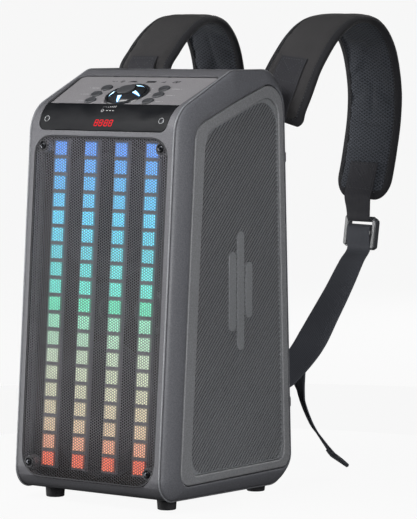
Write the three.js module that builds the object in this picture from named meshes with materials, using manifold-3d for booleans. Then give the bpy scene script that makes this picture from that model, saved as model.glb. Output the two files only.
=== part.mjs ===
// Party speaker with backpack straps. Millimetres, +Z up, front towards -Y, feet on Z = 0.
import * as THREE from 'three';
import Module from 'manifold-3d';
import { mergeVertices } from 'three/addons/utils/BufferGeometryUtils.js';

const wasm = await Module();
wasm.setup();

// ---- driving dimensions -------------------------------------------------------------------
const GAP = 0.35;               // clearance kept between separate pieces
// The base slopes down a little towards the back, so the back feet are shorter.
const BASE_FRONT = 13;
const BASE_BACK = 8.5;
const CABINET_TOP = 479;
const BACK_AT_FLOOR = 244.9;    // depth of the back plane where it would meet the floor
const BAND_HALF = 101.5;        // half width of the centre band, up to the bead
const SIDE_HALF = 111;          // half width over the side frames
const WALL = 3;
const FRONT_WALL = 12;
const FRONT_LEAN = 4.2;         // degrees
const TOP_SLOPE = 23.8;
const BACK_LEAN = 2.16;
const BROW_HEIGHT = 431;        // height of the control panel plane at BROW_DEPTH
const BROW_DEPTH = 30;
const RIM_RISE = 2;             // the band stands this far above the control panel

const WINDOW_HALF = 93.4;       // front opening
const WINDOW_BOTTOM = 27.8;
const WINDOW_TOP = 408.4;

const LED_PITCH = 42.7;         // between light bars
const LED_COLUMNS = [-1.5, -0.5, 0.5, 1.5];
const LED_ROWS = 19;
const LED_ROW_PITCH = 19.2;
const LED_FIRST_ROW = 48.8;
const LED_FACE = -10.4;

const BAFFLE_FACE = -27;
const WOOFER_HEIGHTS = [108, 328];
const TWEETER_HEIGHT = 218;
const PORT_OFFSET = 62;

const KNOB_CENTRE = 51.5;
const KNOB_RING_RADIUS = 26.2;
const BUTTON_RADIUS = 6.7;
const BUTTON_CIRCLE = 43.5;
const BUTTON_ANGLES = [-22, 0, 22];
const PANEL_THICKNESS = 3;

const STRAP_WIDTH = 75;
const STRAP_THICKNESS = 12;
const WEB_WIDTH = 38;
const WEB_THICKNESS = 1.8;
const STRAP_REACH = { right: 1, left: 0.865 };

const COLOUR = {
  shell: [0x4a4c4f, 0.55, 0],
  cheek: [0x55585c, 0.5, 0],
  frame: [0x707276, 0.42, 0],
  rib: [0x5e6063, 0.5, 0],
  mesh: [0x24262a, 0.5, 0.6],
  led: [0x9fd8c8, 0.4, 0],
  board: [0x3b2a1c, 0.8, 0],
  metal: [0x2e3033, 0.45, 0.7],
  cone: [0x1b1c1e, 0.7, 0],
  rubber: [0x161617, 0.85, 0],
  panel: [0x919193, 0.5, 0],
  gloss: [0x1d1f22, 0.12, 0],
  button: [0x55575a, 0.5, 0],
  glow: [0xd8f4ff, 0.3, 0],
  pcb: [0x1f4a33, 0.6, 0],
  battery: [0x2a4f8a, 0.5, 0],
  steel: [0x8f9194, 0.35, 0.9],
  fabric: [0x3a3a3d, 0.95, 0],
  webbing: [0x2c3138, 0.9, 0],
};

// ---- frames of the cabinet faces ----------------------------------------------------------
const rad = THREE.MathUtils.degToRad;
const slopeOf = (degrees) => Math.tan(rad(degrees));

function tilted(angle, y, z) {
  return new THREE.Matrix4().makeRotationX(rad(angle)).setPosition(0, y, z);
}

const FRONT = tilted(90 - FRONT_LEAN, 0, 0);
const TOP = tilted(TOP_SLOPE, BROW_DEPTH, BROW_HEIGHT);
const BACK = new THREE.Matrix4().makeRotationZ(Math.PI)
  .multiply(new THREE.Matrix4().makeRotationX(rad(90 - BACK_LEAN)));
BACK.setPosition(0, BACK_AT_FLOOR, 0);
const SIDE = new THREE.Matrix4().makeBasis(
  new THREE.Vector3(0, 1, 0),
  new THREE.Vector3(0, 0, 1),
  new THREE.Vector3(1, 0, 0),
);

// ---- outlines -----------------------------------------------------------------------------
// A corner is [u, v, radius]; the path replaces each corner by an arc of its radius.
function roundedPath(corners, steps = 4) {
  const points = [];
  corners.forEach(([u, v, radius], i) => {
    const [pu, pv] = corners[(i + corners.length - 1) % corners.length];
    const [nu, nv] = corners[(i + 1) % corners.length];
    const here = new THREE.Vector2(u, v);
    const back = new THREE.Vector2(pu, pv).sub(here).normalize();
    const ahead = new THREE.Vector2(nu, nv).sub(here).normalize();
    if (radius === 0) {
      points.push(here);
      return;
    }
    const half = Math.acos(THREE.MathUtils.clamp(back.dot(ahead), -1, 1)) / 2;
    const reach = radius / Math.tan(half);
    const middle = back.clone().add(ahead).normalize();
    const centre = here.clone().addScaledVector(middle, radius / Math.sin(half));
    const from = here.clone().addScaledVector(back, reach).sub(centre);
    const to = here.clone().addScaledVector(ahead, reach).sub(centre);
    const start = from.angle();
    const turn = Math.atan2(from.cross(to), from.dot(to));
    for (let k = 0; k <= steps; k += 1) {
      const angle = start + (turn * k) / steps;
      points.push(new THREE.Vector2(Math.cos(angle), Math.sin(angle)).multiplyScalar(radius).add(centre));
    }
  });
  return points;
}

// Moves each edge of a clockwise corner list inwards by its own distance.
function insetCorners(corners, distances) {
  const lines = corners.map(([u, v], i) => {
    const [nu, nv] = corners[(i + 1) % corners.length];
    const along = new THREE.Vector2(nu - u, nv - v).normalize();
    const inward = new THREE.Vector2(along.y, -along.x);
    const distance = Array.isArray(distances) ? distances[i] : distances;
    return { point: new THREE.Vector2(u, v).addScaledVector(inward, distance), along, distance };
  });
  return corners.map(([, , radius], i) => {
    const a = lines[(i + lines.length - 1) % lines.length];
    const b = lines[i];
    const offset = b.point.clone().sub(a.point);
    const t = offset.cross(b.along) / a.along.cross(b.along);
    const corner = a.point.clone().addScaledVector(a.along, t);
    return [corner.x, corner.y, Math.max(radius - Math.min(a.distance, b.distance), 1)];
  });
}

function box2(halfWidth, bottom, top, radius) {
  return [
    [-halfWidth, bottom, radius],
    [-halfWidth, top, radius],
    [halfWidth, top, radius],
    [halfWidth, bottom, radius],
  ];
}

// ---- solids -------------------------------------------------------------------------------
function prism(path, from, to, holes = [], bevel = 0) {
  const shape = new THREE.Shape(path);
  holes.forEach((hole) => shape.holes.push(new THREE.Path(hole)));
  const geometry = new THREE.ExtrudeGeometry(shape, {
    depth: to - from - 2 * bevel,
    bevelEnabled: bevel > 0,
    bevelThickness: bevel,
    bevelSize: bevel,
    bevelOffset: -bevel,
    bevelSegments: 2,
  });
  return geometry.translate(0, 0, from + bevel);
}

function block(width, height, depth, x, y, z) {
  return new THREE.BoxGeometry(width, height, depth).translate(x, y, z);
}

// Turns a closed [radius, height] outline about the local Z axis.
function turned(outline, segments = 24) {
  const points = outline.map(([radius, height]) => new THREE.Vector2(radius, height));
  if (outline[0][0] > 0) points.push(points[0].clone());
  return new THREE.LatheGeometry(points, segments).rotateX(Math.PI / 2);
}

function disc(radius, from, to, segments = 24) {
  return new THREE.CylinderGeometry(radius, radius, to - from, segments)
    .rotateX(Math.PI / 2).translate(0, 0, (from + to) / 2);
}

// Skins a row of rings of equal point counts and closes both ends.
function loft(rings) {
  const count = rings[0].length;
  const positions = rings.flatMap((ring) => ring.flatMap((p) => [p.x, p.y, p.z]));
  const faces = [];
  for (let r = 0; r + 1 < rings.length; r += 1) {
    for (let k = 0; k < count; k += 1) {
      const a = r * count + k;
      const b = r * count + ((k + 1) % count);
      faces.push(a, b, b + count, a, b + count, a + count);
    }
  }
  [0, rings.length - 1].forEach((r) => {
    const centre = rings[r].reduce((sum, p) => sum.add(p), new THREE.Vector3()).divideScalar(count);
    const hub = positions.length / 3;
    positions.push(centre.x, centre.y, centre.z);
    for (let k = 0; k < count; k += 1) {
      const a = r * count + k;
      const b = r * count + ((k + 1) % count);
      faces.push(...(r === 0 ? [hub, b, a] : [hub, a, b]));
    }
  });
  const geometry = new THREE.BufferGeometry();
  geometry.setAttribute('position', new THREE.Float32BufferAttribute(positions, 3));
  geometry.setIndex(faces);
  return facingOut(geometry);
}

function signedVolume(geometry) {
  const flat = geometry.index ? geometry.toNonIndexed() : geometry;
  const p = flat.attributes.position;
  const [a, b, c] = [new THREE.Vector3(), new THREE.Vector3(), new THREE.Vector3()];
  let volume = 0;
  for (let i = 0; i < p.count; i += 3) {
    a.fromBufferAttribute(p, i);
    b.fromBufferAttribute(p, i + 1);
    c.fromBufferAttribute(p, i + 2);
    volume += a.dot(b.cross(c)) / 6;
  }
  return volume;
}

function flipped(geometry) {
  const index = Array.from(geometry.index.array);
  for (let i = 0; i < index.length; i += 3) {
    [index[i], index[i + 1]] = [index[i + 1], index[i]];
  }
  geometry.setIndex(index);
  return geometry;
}

function welded(geometry) {
  const plain = geometry.clone();
  plain.deleteAttribute('normal');
  plain.deleteAttribute('uv');
  return mergeVertices(plain, 1e-4);
}

function facingOut(geometry) {
  const whole = welded(geometry);
  return signedVolume(whole) < 0 ? flipped(whole) : whole;
}

function solid(shape) {
  if (shape instanceof wasm.Manifold) return shape;
  const whole = facingOut(shape);
  return new wasm.Manifold(new wasm.Mesh({
    numProp: 3,
    vertProperties: Float32Array.from(whole.attributes.position.array),
    triVerts: Uint32Array.from(whole.index.array),
  }));
}

function geometryOf(body) {
  const mesh = body.getMesh();
  const geometry = new THREE.BufferGeometry();
  geometry.setAttribute('position', new THREE.BufferAttribute(Float32Array.from(mesh.vertProperties), 3));
  geometry.setIndex(Array.from(mesh.triVerts));
  return geometry;
}

const joined = (...shapes) => shapes.map(solid).reduce((a, b) => a.add(b));
const cut = (base, ...tools) => tools.map(solid).reduce((a, b) => a.subtract(b), solid(base));
const common = (a, b) => solid(a).intersect(solid(b));
const at = (geometry, matrix) => geometry.clone().applyMatrix4(matrix);
const moved = (geometry, x, y, z = 0) => geometry.clone().translate(x, y, z);
const mirrored = (geometry) => facingOut(geometry.clone().scale(-1, 1, 1));

// ---- the object's tree --------------------------------------------------------------------
const group = new THREE.Group();

function add(name, shape, look, matrix = new THREE.Matrix4()) {
  const geometry = shape instanceof wasm.Manifold ? geometryOf(shape) : facingOut(shape);
  const [colour, roughness, metalness] = COLOUR[look];
  const material = new THREE.MeshStandardMaterial({
    color: colour,
    roughness,
    metalness,
    flatShading: true,
  });
  const mesh = new THREE.Mesh(geometry, material);
  mesh.name = name;
  mesh.applyMatrix4(matrix);
  group.add(mesh);
}

function addPair(name, shape, look) {
  const right = shape instanceof wasm.Manifold ? geometryOf(shape) : facingOut(shape);
  add(`${name}_right`, right, look);
  add(`${name}_left`, mirrored(right), look);
}

// ---- cabinet band -------------------------------------------------------------------------
const frontAt = (z) => z * slopeOf(FRONT_LEAN);
const backAt = (z) => BACK_AT_FLOOR - z * slopeOf(BACK_LEAN);
const rimLift = RIM_RISE / Math.cos(rad(TOP_SLOPE));
const rimAt = (y) => BROW_HEIGHT + (y - BROW_DEPTH) * slopeOf(TOP_SLOPE) + rimLift;
const browZ = rimAt(0) / (1 - slopeOf(FRONT_LEAN) * slopeOf(TOP_SLOPE));
const ridgeY = BROW_DEPTH + (CABINET_TOP - rimAt(BROW_DEPTH)) / slopeOf(TOP_SLOPE);

// Clockwise seen from +X: bottom front, brow, ridge, top back, bottom back.
const PROFILE = [
  [frontAt(BASE_FRONT), BASE_FRONT, 24],
  [frontAt(browZ), browZ, 40],
  [ridgeY, CABINET_TOP, 30],
  [backAt(CABINET_TOP), CABINET_TOP, 36],
  [backAt(BASE_BACK), BASE_BACK, 34],
];
const INNER_PROFILE = insetCorners(PROFILE, [FRONT_WALL, WALL, WALL, WALL, WALL]);

// Corners on the front face: [x, distance up the face, radius].
const WINDOW = [
  [-WINDOW_HALF, WINDOW_BOTTOM, 26],
  [-WINDOW_HALF, WINDOW_TOP, 21],
  [WINDOW_HALF, WINDOW_TOP, 21],
  [WINDOW_HALF, WINDOW_BOTTOM, 26],
];
const PANEL_FOOT = 23.8;
const PANEL = [
  [-92.5, PANEL_FOOT, 1.5],
  [-98, 99.5, 9],
  [98, 99.5, 9],
  [92.5, PANEL_FOOT, 1.5],
];

// The display strip follows the brow; its own frame lies along the chord of that curve.
const STRIP_FOOT = [frontAt(413.5), 413.5];
const STRIP_HEAD = [
  BROW_DEPTH + PANEL_FOOT * Math.cos(rad(TOP_SLOPE)),
  BROW_HEIGHT + PANEL_FOOT * Math.sin(rad(TOP_SLOPE)) + RIM_RISE,
];
const STRIP_ANGLE = Math.atan2(STRIP_HEAD[1] - STRIP_FOOT[1], STRIP_HEAD[0] - STRIP_FOOT[0]);
const STRIP_LENGTH = Math.hypot(STRIP_HEAD[0] - STRIP_FOOT[0], STRIP_HEAD[1] - STRIP_FOOT[1]);
const STRIP = tilted(THREE.MathUtils.radToDeg(STRIP_ANGLE), STRIP_FOOT[0], STRIP_FOOT[1]);
const STRIP_OUTLINE = [
  [-88.5, 0, 8],
  [-92, STRIP_LENGTH, 1.2],
  [92, STRIP_LENGTH, 1.2],
  [88.5, 0, 8],
];
const STRIP_SCREW = { x: 80, v: 12 };

const HANDLE = { half: 78, front: 142, back: 190, depth: 26 };
const REAR_COVER = box2(50, 40, 436, 10);
const LOOP_HALF = 25;
const UPPER_LOOP = [77, 380];
const LOWER_LOOP = [77, 100];
const GRILLE_SCREWS = [[82.5, 396.3], [83.3, 43.2]];

const sideOfWidth = (corners, half) => at(prism(roundedPath(corners), -half, half), SIDE);

function bandShape() {
  const boss = (x, s) => at(moved(disc(8, -FRONT_WALL - 1, -2.6, 8), x, s), FRONT);
  const pilot = (x, s) => at(moved(disc(1.9, -9.5, 5, 6), x, s), FRONT);
  const spots = GRILLE_SCREWS.flatMap(([x, s]) => [[x, s], [-x, s]]);
  let band = cut(sideOfWidth(PROFILE, BAND_HALF), sideOfWidth(INNER_PROFILE, BAND_HALF + 5));
  band = cut(
    band,
    at(prism(roundedPath(WINDOW), -30, 20), FRONT),
    at(prism(roundedPath(insetCorners(PANEL, -0.5)), -30, 20), TOP),
    at(prism(roundedPath(insetCorners(STRIP_OUTLINE, -0.5)), -40, 20), STRIP),
    at(prism(roundedPath(REAR_COVER), -20, 20), BACK),
    handleOpening(GAP),
  );
  const loops = [UPPER_LOOP, LOWER_LOOP].flatMap(([x, s]) => [loopShape(x, s), loopShape(-x, s)]);
  band = joined(band, ...loops, ...spots.map(([x, s]) => boss(x, s)));
  return cut(band, ...spots.map(([x, s]) => pilot(x, s)));
}

// Moulded loop on the back that the webbing passes under.
function loopShape(x, s) {
  const plate = prism(roundedPath(box2(LOOP_HALF, -7, 7, 3), 3), -1, 7.5);
  const passage = block(WEB_WIDTH + 6, 30, 6.5, 0, 0, 1);
  return at(moved(geometryOf(cut(plate, passage)), x, s), BACK);
}

// ---- carry handle in the top, near the back -----------------------------------------------
const HANDLE_CORNERS = [
  [-HANDLE.half, HANDLE.front, 16],
  [-HANDLE.half, HANDLE.back, 16],
  [HANDLE.half, HANDLE.back, 16],
  [HANDLE.half, HANDLE.front, 16],
];

function handleOpening(extra) {
  const path = roundedPath(insetCorners(HANDLE_CORNERS, -extra));
  return prism(path, CABINET_TOP - HANDLE.depth - 20, CABINET_TOP + 12);
}

function handleShape() {
  const floor = CABINET_TOP - HANDLE.depth;
  const cup = cut(
    prism(roundedPath(HANDLE_CORNERS), floor - WALL, CABINET_TOP - 0.6),
    prism(roundedPath(insetCorners(HANDLE_CORNERS, WALL)), floor, CABINET_TOP + 5),
  );
  const middle = (HANDLE.front + HANDLE.back) / 2;
  const grip = new THREE.Shape(roundedPath([
    [middle - 12, CABINET_TOP - 11, 4.5],
    [middle - 12, CABINET_TOP - 1, 4.5],
    [middle + 12, CABINET_TOP - 1, 4.5],
    [middle + 12, CABINET_TOP - 11, 4.5],
  ], 3));
  const length = 2 * HANDLE.half - 4;
  const bar = new THREE.ExtrudeGeometry(grip, { depth: length, bevelEnabled: false })
    .translate(0, 0, -length / 2);
  return joined(cup, at(bar, SIDE));
}

// ---- sides --------------------------------------------------------------------------------
const SEAM = [
  [25.5 + frontAt(28), 28, 16],
  [25.5 + frontAt(418.5), 418.5, 26],
  [130, 444.5, 60],
  [219.2, 472.3, 30],
  [236, 28, 15],
];
const RIBBED = [
  [44.5 + frontAt(38), 38, 12],
  [44.5 + frontAt(411.5), 411.5, 18],
  [210, 455, 22],
  [224, 38, 11],
];
const RIB_PITCH = 9.5;
const SIDE_POCKET = 105;

function cheekShape() {
  const outer = roundedPath(insetCorners(PROFILE, 1.2));
  const inner = roundedPath(SEAM);
  const ring = (t, x) => outer.map((p, i) => {
    const q = p.clone().lerp(inner[i], t);
    return new THREE.Vector3(x, q.x, q.y);
  });
  const body = loft([ring(0, BAND_HALF + GAP), ring(0.05, 103.4), ring(0.55, 109), ring(0.93, SIDE_HALF)]);
  return cut(
    body,
    at(prism(roundedPath(insetCorners(SEAM, -GAP)), SIDE_POCKET, SIDE_HALF + 5), SIDE),
    at(prism(roundedPath(insetCorners(SEAM, 8)), BAND_HALF - 5, SIDE_POCKET + 1), SIDE),
  );
}

// A plate whose outer edge rolls over by ROUND towards its face.
function pillow(corners, from, to, round) {
  const ring = (inset, height) => roundedPath(insetCorners(corners, inset))
    .map((p) => new THREE.Vector3(p.x, p.y, height));
  return loft([ring(0, from), ring(0, to - round), ring(round * 0.3, to - round * 0.3), ring(round, to)]);
}

function sideFrameShape() {
  const ring = (inset, height) => roundedPath(insetCorners(RIBBED, inset))
    .map((p) => new THREE.Vector3(p.x, p.y, height));
  const opening = loft([
    ring(0, SIDE_POCKET),
    ring(0, SIDE_HALF - 1.4),
    ring(-1.4, SIDE_HALF),
    ring(-2, SIDE_HALF + 1),
  ]);
  return at(geometryOf(cut(pillow(SEAM, SIDE_POCKET + GAP, SIDE_HALF, 2.2), opening)), SIDE);
}

// Corner tabs are plain; everything between them carries 45 degree ribs.
function ribSheet() {
  const reach = 460;
  const count = Math.floor(reach / RIB_PITCH);
  const points = [new THREE.Vector2(0, 0)];
  for (let i = 0; i < count; i += 1) {
    points.push(new THREE.Vector2(i * RIB_PITCH, 1.4));
    points.push(new THREE.Vector2((i + 0.5) * RIB_PITCH, 3.9));
  }
  points.push(new THREE.Vector2(count * RIB_PITCH, 1.4));
  points.push(new THREE.Vector2(count * RIB_PITCH, 0));
  const length = 520;
  return new THREE.ExtrudeGeometry(new THREE.Shape(points), { depth: length, bevelEnabled: false })
    .translate(0, 0, -length / 2)
    .rotateX(Math.PI / 2)
    .translate(-reach / 2, 0, 0)
    .rotateZ(-Math.PI / 4)
    .translate(135, 245, SIDE_POCKET + GAP);
}

const BADGE = { y: 141, z: 235, width: 11, step: 15.5, heights: [88, 132, 62] };

// Three smooth rounded bars moulded over the ribs.
function badgeShape() {
  const from = SIDE_POCKET + GAP + 1;
  const to = SIDE_POCKET + 5;
  const bars = BADGE.heights.map((height, i) => {
    const y = BADGE.y + (i - 1) * BADGE.step;
    const corners = box2(BADGE.width / 2, BADGE.z - height / 2, BADGE.z + height / 2, BADGE.width / 2 - 0.1);
    return prism(roundedPath(corners, 3).map((p) => p.setX(p.x + y)), from, to);
  });
  return joined(...bars);
}

function sideGrilleShape() {
  const outline = prism(roundedPath(insetCorners(RIBBED, 0.4)), SIDE_POCKET, SIDE_HALF);
  const tabs = RIBBED.map(([y, z], i) => {
    const inwardY = i < 2 ? 7 : -7;
    const inwardZ = i === 0 || i === 3 ? 7 : -8;
    return moved(disc(12, SIDE_POCKET + GAP, SIDE_POCKET + GAP + 3.9, 20), y + inwardY, z + inwardZ);
  });
  return common(joined(ribSheet(), badgeShape(), ...tabs), outline);
}

// ---- front: grille and light bars ---------------------------------------------------------
function frontGrilleShape() {
  const holes = GRILLE_SCREWS.flatMap(([x, s]) => [[x, s], [-x, s]])
    .map(([x, s]) => moved(disc(1.9, -5, 5, 8), x, s));
  return cut(prism(roundedPath(insetCorners(WINDOW, 0.4)), -2.2, -0.7), ...holes);
}

function screwShape(headRadius, headHeight, shankRadius, shankLength) {
  const head = turned([
    [0, -shankLength],
    [shankRadius, -shankLength],
    [shankRadius, 0],
    [headRadius, 0],
    [headRadius, headHeight * 0.6],
    [headRadius * 0.75, headHeight],
    [0, headHeight],
  ], 8);
  return cut(head, block(headRadius * 1.1, 0.9, headHeight, 0, 0, headHeight));
}

function lightBarShape() {
  const length = LED_ROWS * LED_ROW_PITCH + 1.2;
  const middle = LED_FIRST_ROW + ((LED_ROWS - 1) / 2) * LED_ROW_PITCH;
  const spine = block(20.6, length, 4, 0, middle, LED_FACE - 3.5);
  const blocks = [];
  for (let row = 0; row < LED_ROWS; row += 1) {
    const tall = row === LED_ROWS - 1 ? 17 : 15.6;
    blocks.push(block(17.8, tall, 2, 0, LED_FIRST_ROW + row * LED_ROW_PITCH, LED_FACE - 1));
  }
  return joined(spine, ...blocks);
}

// ---- drivers ------------------------------------------------------------------------------
const WOOFER = { flange: 76, hole: 68, cone: 52, roll: 5 };

function baffleShape() {
  const plate = prism(roundedPath(box2(98, 22, 411, 12)), BAFFLE_FACE - 12, BAFFLE_FACE);
  const holes = WOOFER_HEIGHTS.map((s) => moved(disc(WOOFER.hole + 0.6, -60, 0, 20), 0, s));
  holes.push(moved(disc(24, -60, 0, 18), 0, TWEETER_HEIGHT));
  holes.push(moved(disc(20.4, -60, 0, 16), PORT_OFFSET, TWEETER_HEIGHT));
  const posts = [];
  LED_COLUMNS.forEach((column) => {
    const heights = Math.abs(column) > 1 ? [46, 396] : [187, 249];
    heights.forEach((s) => {
      const depth = LED_FACE - 5.8 - BAFFLE_FACE + 1;
      posts.push(block(8, 8, depth, column * LED_PITCH, s, BAFFLE_FACE - 1 + depth / 2));
    });
  });
  return cut(joined(plate, ...posts), ...holes);
}

// A woofer frame with its magnet; the front face of the baffle is local height 0.
const wooferFrame = () => turned([
  [WOOFER.flange, 0.3],
  [WOOFER.flange, 3.3],
  [65, 3.3],
  [65, -2],
  [43, -33],
  [18, -34],
  [0.5, -34],
  [0.5, -61],
  [50, -61],
  [50, -35],
  [45.5, -34.5],
  [67.3, -2],
  [67.3, 0.3],
], 20);

const wooferCone = () => turned([
  [0, -9],
  [9, -10.5],
  [16, -15],
  [WOOFER.cone, 3],
  [WOOFER.cone, 1.6],
  [16.6, -16.6],
  [14.5, -28],
  [13, -28],
  [14, -17],
  [8, -12],
  [0, -10.5],
], 20);

function surroundShape() {
  const inner = WOOFER.cone + GAP;
  const outer = 66.5;
  const base = 3.7;
  const middle = (inner + outer) / 2;
  const radius = (outer - inner) / 2 - 1.6;
  const arc = (r) => Array.from({ length: 4 }, (_, k) => {
    const angle = Math.PI * (1 - k / 3);
    return [middle + r * Math.cos(angle), base + 1 + WOOFER.roll / radius * r * Math.sin(angle)];
  });
  const underside = arc(radius - 1).reverse().map(([r, h]) => [r, h - 1]);
  return turned([
    [inner, base],
    [inner, base + 1],
    ...arc(radius),
    [outer, base + 1],
    [outer, base],
    ...underside,
  ], 20);
}

const tweeterShape = () => turned([
  [0, -20],
  [20, -20],
  [20, -1],
  [23.2, -1],
  [23.2, 0.3],
  [30, 0.3],
  [30, 3.2],
  [26, 3.2],
  [15, -1.5],
  [13, 0],
  [9.5, 3.6],
  [5, 5.6],
  [0, 6.2],
], 16);

const portShape = () => turned([
  [24, 0.3],
  [24, 2.8],
  [20.5, 2.8],
  [17.5, -5],
  [17.5, -90],
  [20, -90],
  [20, 0.3],
], 16);

// ---- top: control panel, display strip, knob and buttons ----------------------------------
const buttonSpots = [-1, 1].flatMap((side) => BUTTON_ANGLES.map((angle) => ({
  side,
  x: side * BUTTON_CIRCLE * Math.cos(rad(angle)),
  s: KNOB_CENTRE + BUTTON_CIRCLE * Math.sin(rad(angle)),
})));

function controlPanelShape() {
  const holes = buttonSpots.map(({ x, s }) => moved(disc(BUTTON_RADIUS + 0.6, -10, 10, 12), x, s));
  holes.push(moved(disc(KNOB_RING_RADIUS + GAP, -10, 10, 24), 0, KNOB_CENTRE));
  return cut(prism(roundedPath(PANEL), -PANEL_THICKNESS, 0), ...holes);
}

function displayStripShape() {
  const skin = cut(
    sideOfWidth(insetCorners(PROFILE, 0.3), BAND_HALF),
    sideOfWidth(insetCorners(PROFILE, 3.1), BAND_HALF + 5),
  );
  const outline = at(prism(roundedPath(STRIP_OUTLINE), -12, 15), STRIP);
  const bore = (side) => moved(disc(1.9, -15, 20, 10), side * STRIP_SCREW.x, STRIP_SCREW.v);
  const holes = [-1, 1].map((side) => at(bore(side), STRIP));
  const panelSpace = at(prism(roundedPath(insetCorners(PANEL, -0.5)), -30, 20), TOP);
  return cut(common(skin, outline), panelSpace, ...holes);
}

function displayModuleShape() {
  const bracket = block(172, 22, 2, 0, 20, -6);
  const display = block(34, 12, 5, 0, 14, -3.5);
  const holes = [-1, 1].map((side) => moved(disc(1.9, -10, 20, 10), side * STRIP_SCREW.x, STRIP_SCREW.v));
  return cut(joined(bracket, display), ...holes);
}

const knobRing = () => turned([
  [22.6, -3],
  [22.6, 0.6],
  [24, 2],
  [25.6, 2.2],
  [KNOB_RING_RADIUS, 1.2],
  [KNOB_RING_RADIUS, -3],
], 24);

function volumeKnobShape() {
  const shell = turned([
    [3.4, -5],
    [3.4, 2.6],
    [0, 2.6],
    [0, 5.2],
    [11.2, 5.2],
    [11.2, 6.4],
    [12.2, 6.4],
    [20.5, 2.4],
    [22.2, 0.6],
    [22.2, -3],
    [20.8, -3],
    [20.8, 0.2],
    [19.6, 1.2],
    [13.5, 4],
    [5.6, 4],
    [5.6, -5],
  ].reverse(), 24);
  const corners = [[12.6, -2.4], [20.2, -0.9], [20.2, 0.9], [12.6, 2.4]];
  const wedge = prism(corners.map(([u, v]) => new THREE.Vector2(u, v)), 0.4, 12);
  const windows = Array.from({ length: 5 }, (_, k) => wedge.clone().rotateZ(rad(72 * k - 14)));
  return cut(shell, ...windows);
}

// Light guide: it fills the dial from below and shows through the windows.
const knobLight = () => turned([
  [6.4, -2.4],
  [6.4, 3.5],
  [13, 3.5],
  [19.2, 0.7],
  [20.2, -0.4],
  [20.2, -2.4],
], 16);

const powerCap = () => turned([[0, 6.2], [10.7, 6.2], [10.7, 7.2], [9.8, 7.9], [0, 7.9]], 16);

const buttonShape = () => turned([
  [0, -7],
  [8.2, -7],
  [8.2, -4.4],
  [BUTTON_RADIUS, -4.4],
  [BUTTON_RADIUS, 1.1],
  [BUTTON_RADIUS - 0.9, 1.8],
  [0, 1.8],
], 12);

function controlBoardShape() {
  const board = block(164, 70, 1.6, 0, 56, -15);
  const encoder = moved(disc(8, -14.5, -7, 16), 0, KNOB_CENTRE);
  const shaft = moved(disc(3, -8, 2.2, 14), 0, KNOB_CENTRE);
  const switches = buttonSpots.map(({ x, s }) => block(6, 6, 5.5, x, s, -11.8));
  return joined(board, encoder, shaft, ...switches);
}

// ---- back: cover, sockets, electronics ----------------------------------------------------
const IO = { half: 44, bottom: 330, top: 384 };
const SOCKETS = [[-30, 366, 3.8], [-8, 366, 3.8], [12, 366, 1.8], [30, 366, 3]];

function rearCoverShape() {
  const plate = prism(roundedPath(insetCorners(REAR_COVER, 0.4)), -WALL - 0.4, -0.4);
  return cut(plate, prism(roundedPath(box2(IO.half, IO.bottom, IO.top, 5)), -20, 20));
}

function ioPanelShape() {
  const corners = box2(IO.half - GAP, IO.bottom + GAP, IO.top - GAP, 5);
  const plate = prism(roundedPath(corners, 3), -6, -2);
  const rings = SOCKETS.map(([x, s, r]) => moved(disc(r + 1.8, -10, -1, 8), x, s));
  const bores = SOCKETS.map(([x, s, r]) => moved(disc(r, -12, 5, 10), x, s));
  const shell = block(17, 9.6, 10, -20, 344, -6.6);
  const mouth = block(13.2, 5.6, 20, -20, 344, -0.4);
  const tongue = block(11, 1.8, 8, -20, 344, -7);
  const smallSlot = block(9.2, 3.4, 20, 8, 344, -2);
  return joined(cut(joined(plate, shell, ...rings), ...bores, mouth, smallSlot), tongue);
}

function ampBoardShape() {
  const board = block(140, 120, 1.6, 0, 236, -14);
  const fins = Array.from({ length: 6 }, (_, k) => block(2, 50, 16, -27 + 10.8 * k, 236, -24));
  const sink = block(64, 50, 3.5, 0, 236, -16);
  return joined(board, sink, ...fins);
}

// ---- harness ------------------------------------------------------------------------------
// Side view of the strap's middle line, as [depth behind BACK_START, height].
const BACK_START = 237;
const PAD_ROUTE = [
  [4.5, 422, 85], [5.5, 437, 89], [9, 452, 94], [18, 478, 100], [32, 498, 103], [50, 515, 104],
  [72, 528, 104], [95, 535, 104], [118, 536, 104], [138, 530, 104], [154, 518, 104],
  [167, 500, 104], [176, 474, 104], [180, 447, 104], [178, 418, 104], [173, 388, 103],
  [166, 358, 102], [157, 326, 100],
];
// The left strap leaves the back closer to it and then rises at a slant.
const LEFT_RISE = [
  [4.5, 422, 90], [4.8, 437, 96], [5.2, 452, 101], [7, 478, 104], [27, 498, 104],
  [51, 516, 104], [76, 529, 104],
];
const PAD_ROUTES = {
  right: PAD_ROUTE,
  left: [...LEFT_RISE, ...PAD_ROUTE.slice(LEFT_RISE.length)],
};
const WEB_ROUTE = [[150, 252, 97], [128, 222, 96], [100, 193, 94], [60, 154, 90], [25, 128, 84]];
const TAIL_ROUTE = [
  [44, 142, 86], [53, 110, 85], [66, 85, 84], [83, 62, 84], [103, 43, 85], [121, 27, 86], [136, 16, 86],
];

function routePoints(route, side) {
  return route.map(([depth, z, x]) => new THREE.Vector3(x, BACK_START + depth * STRAP_REACH[side], z));
}

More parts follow.
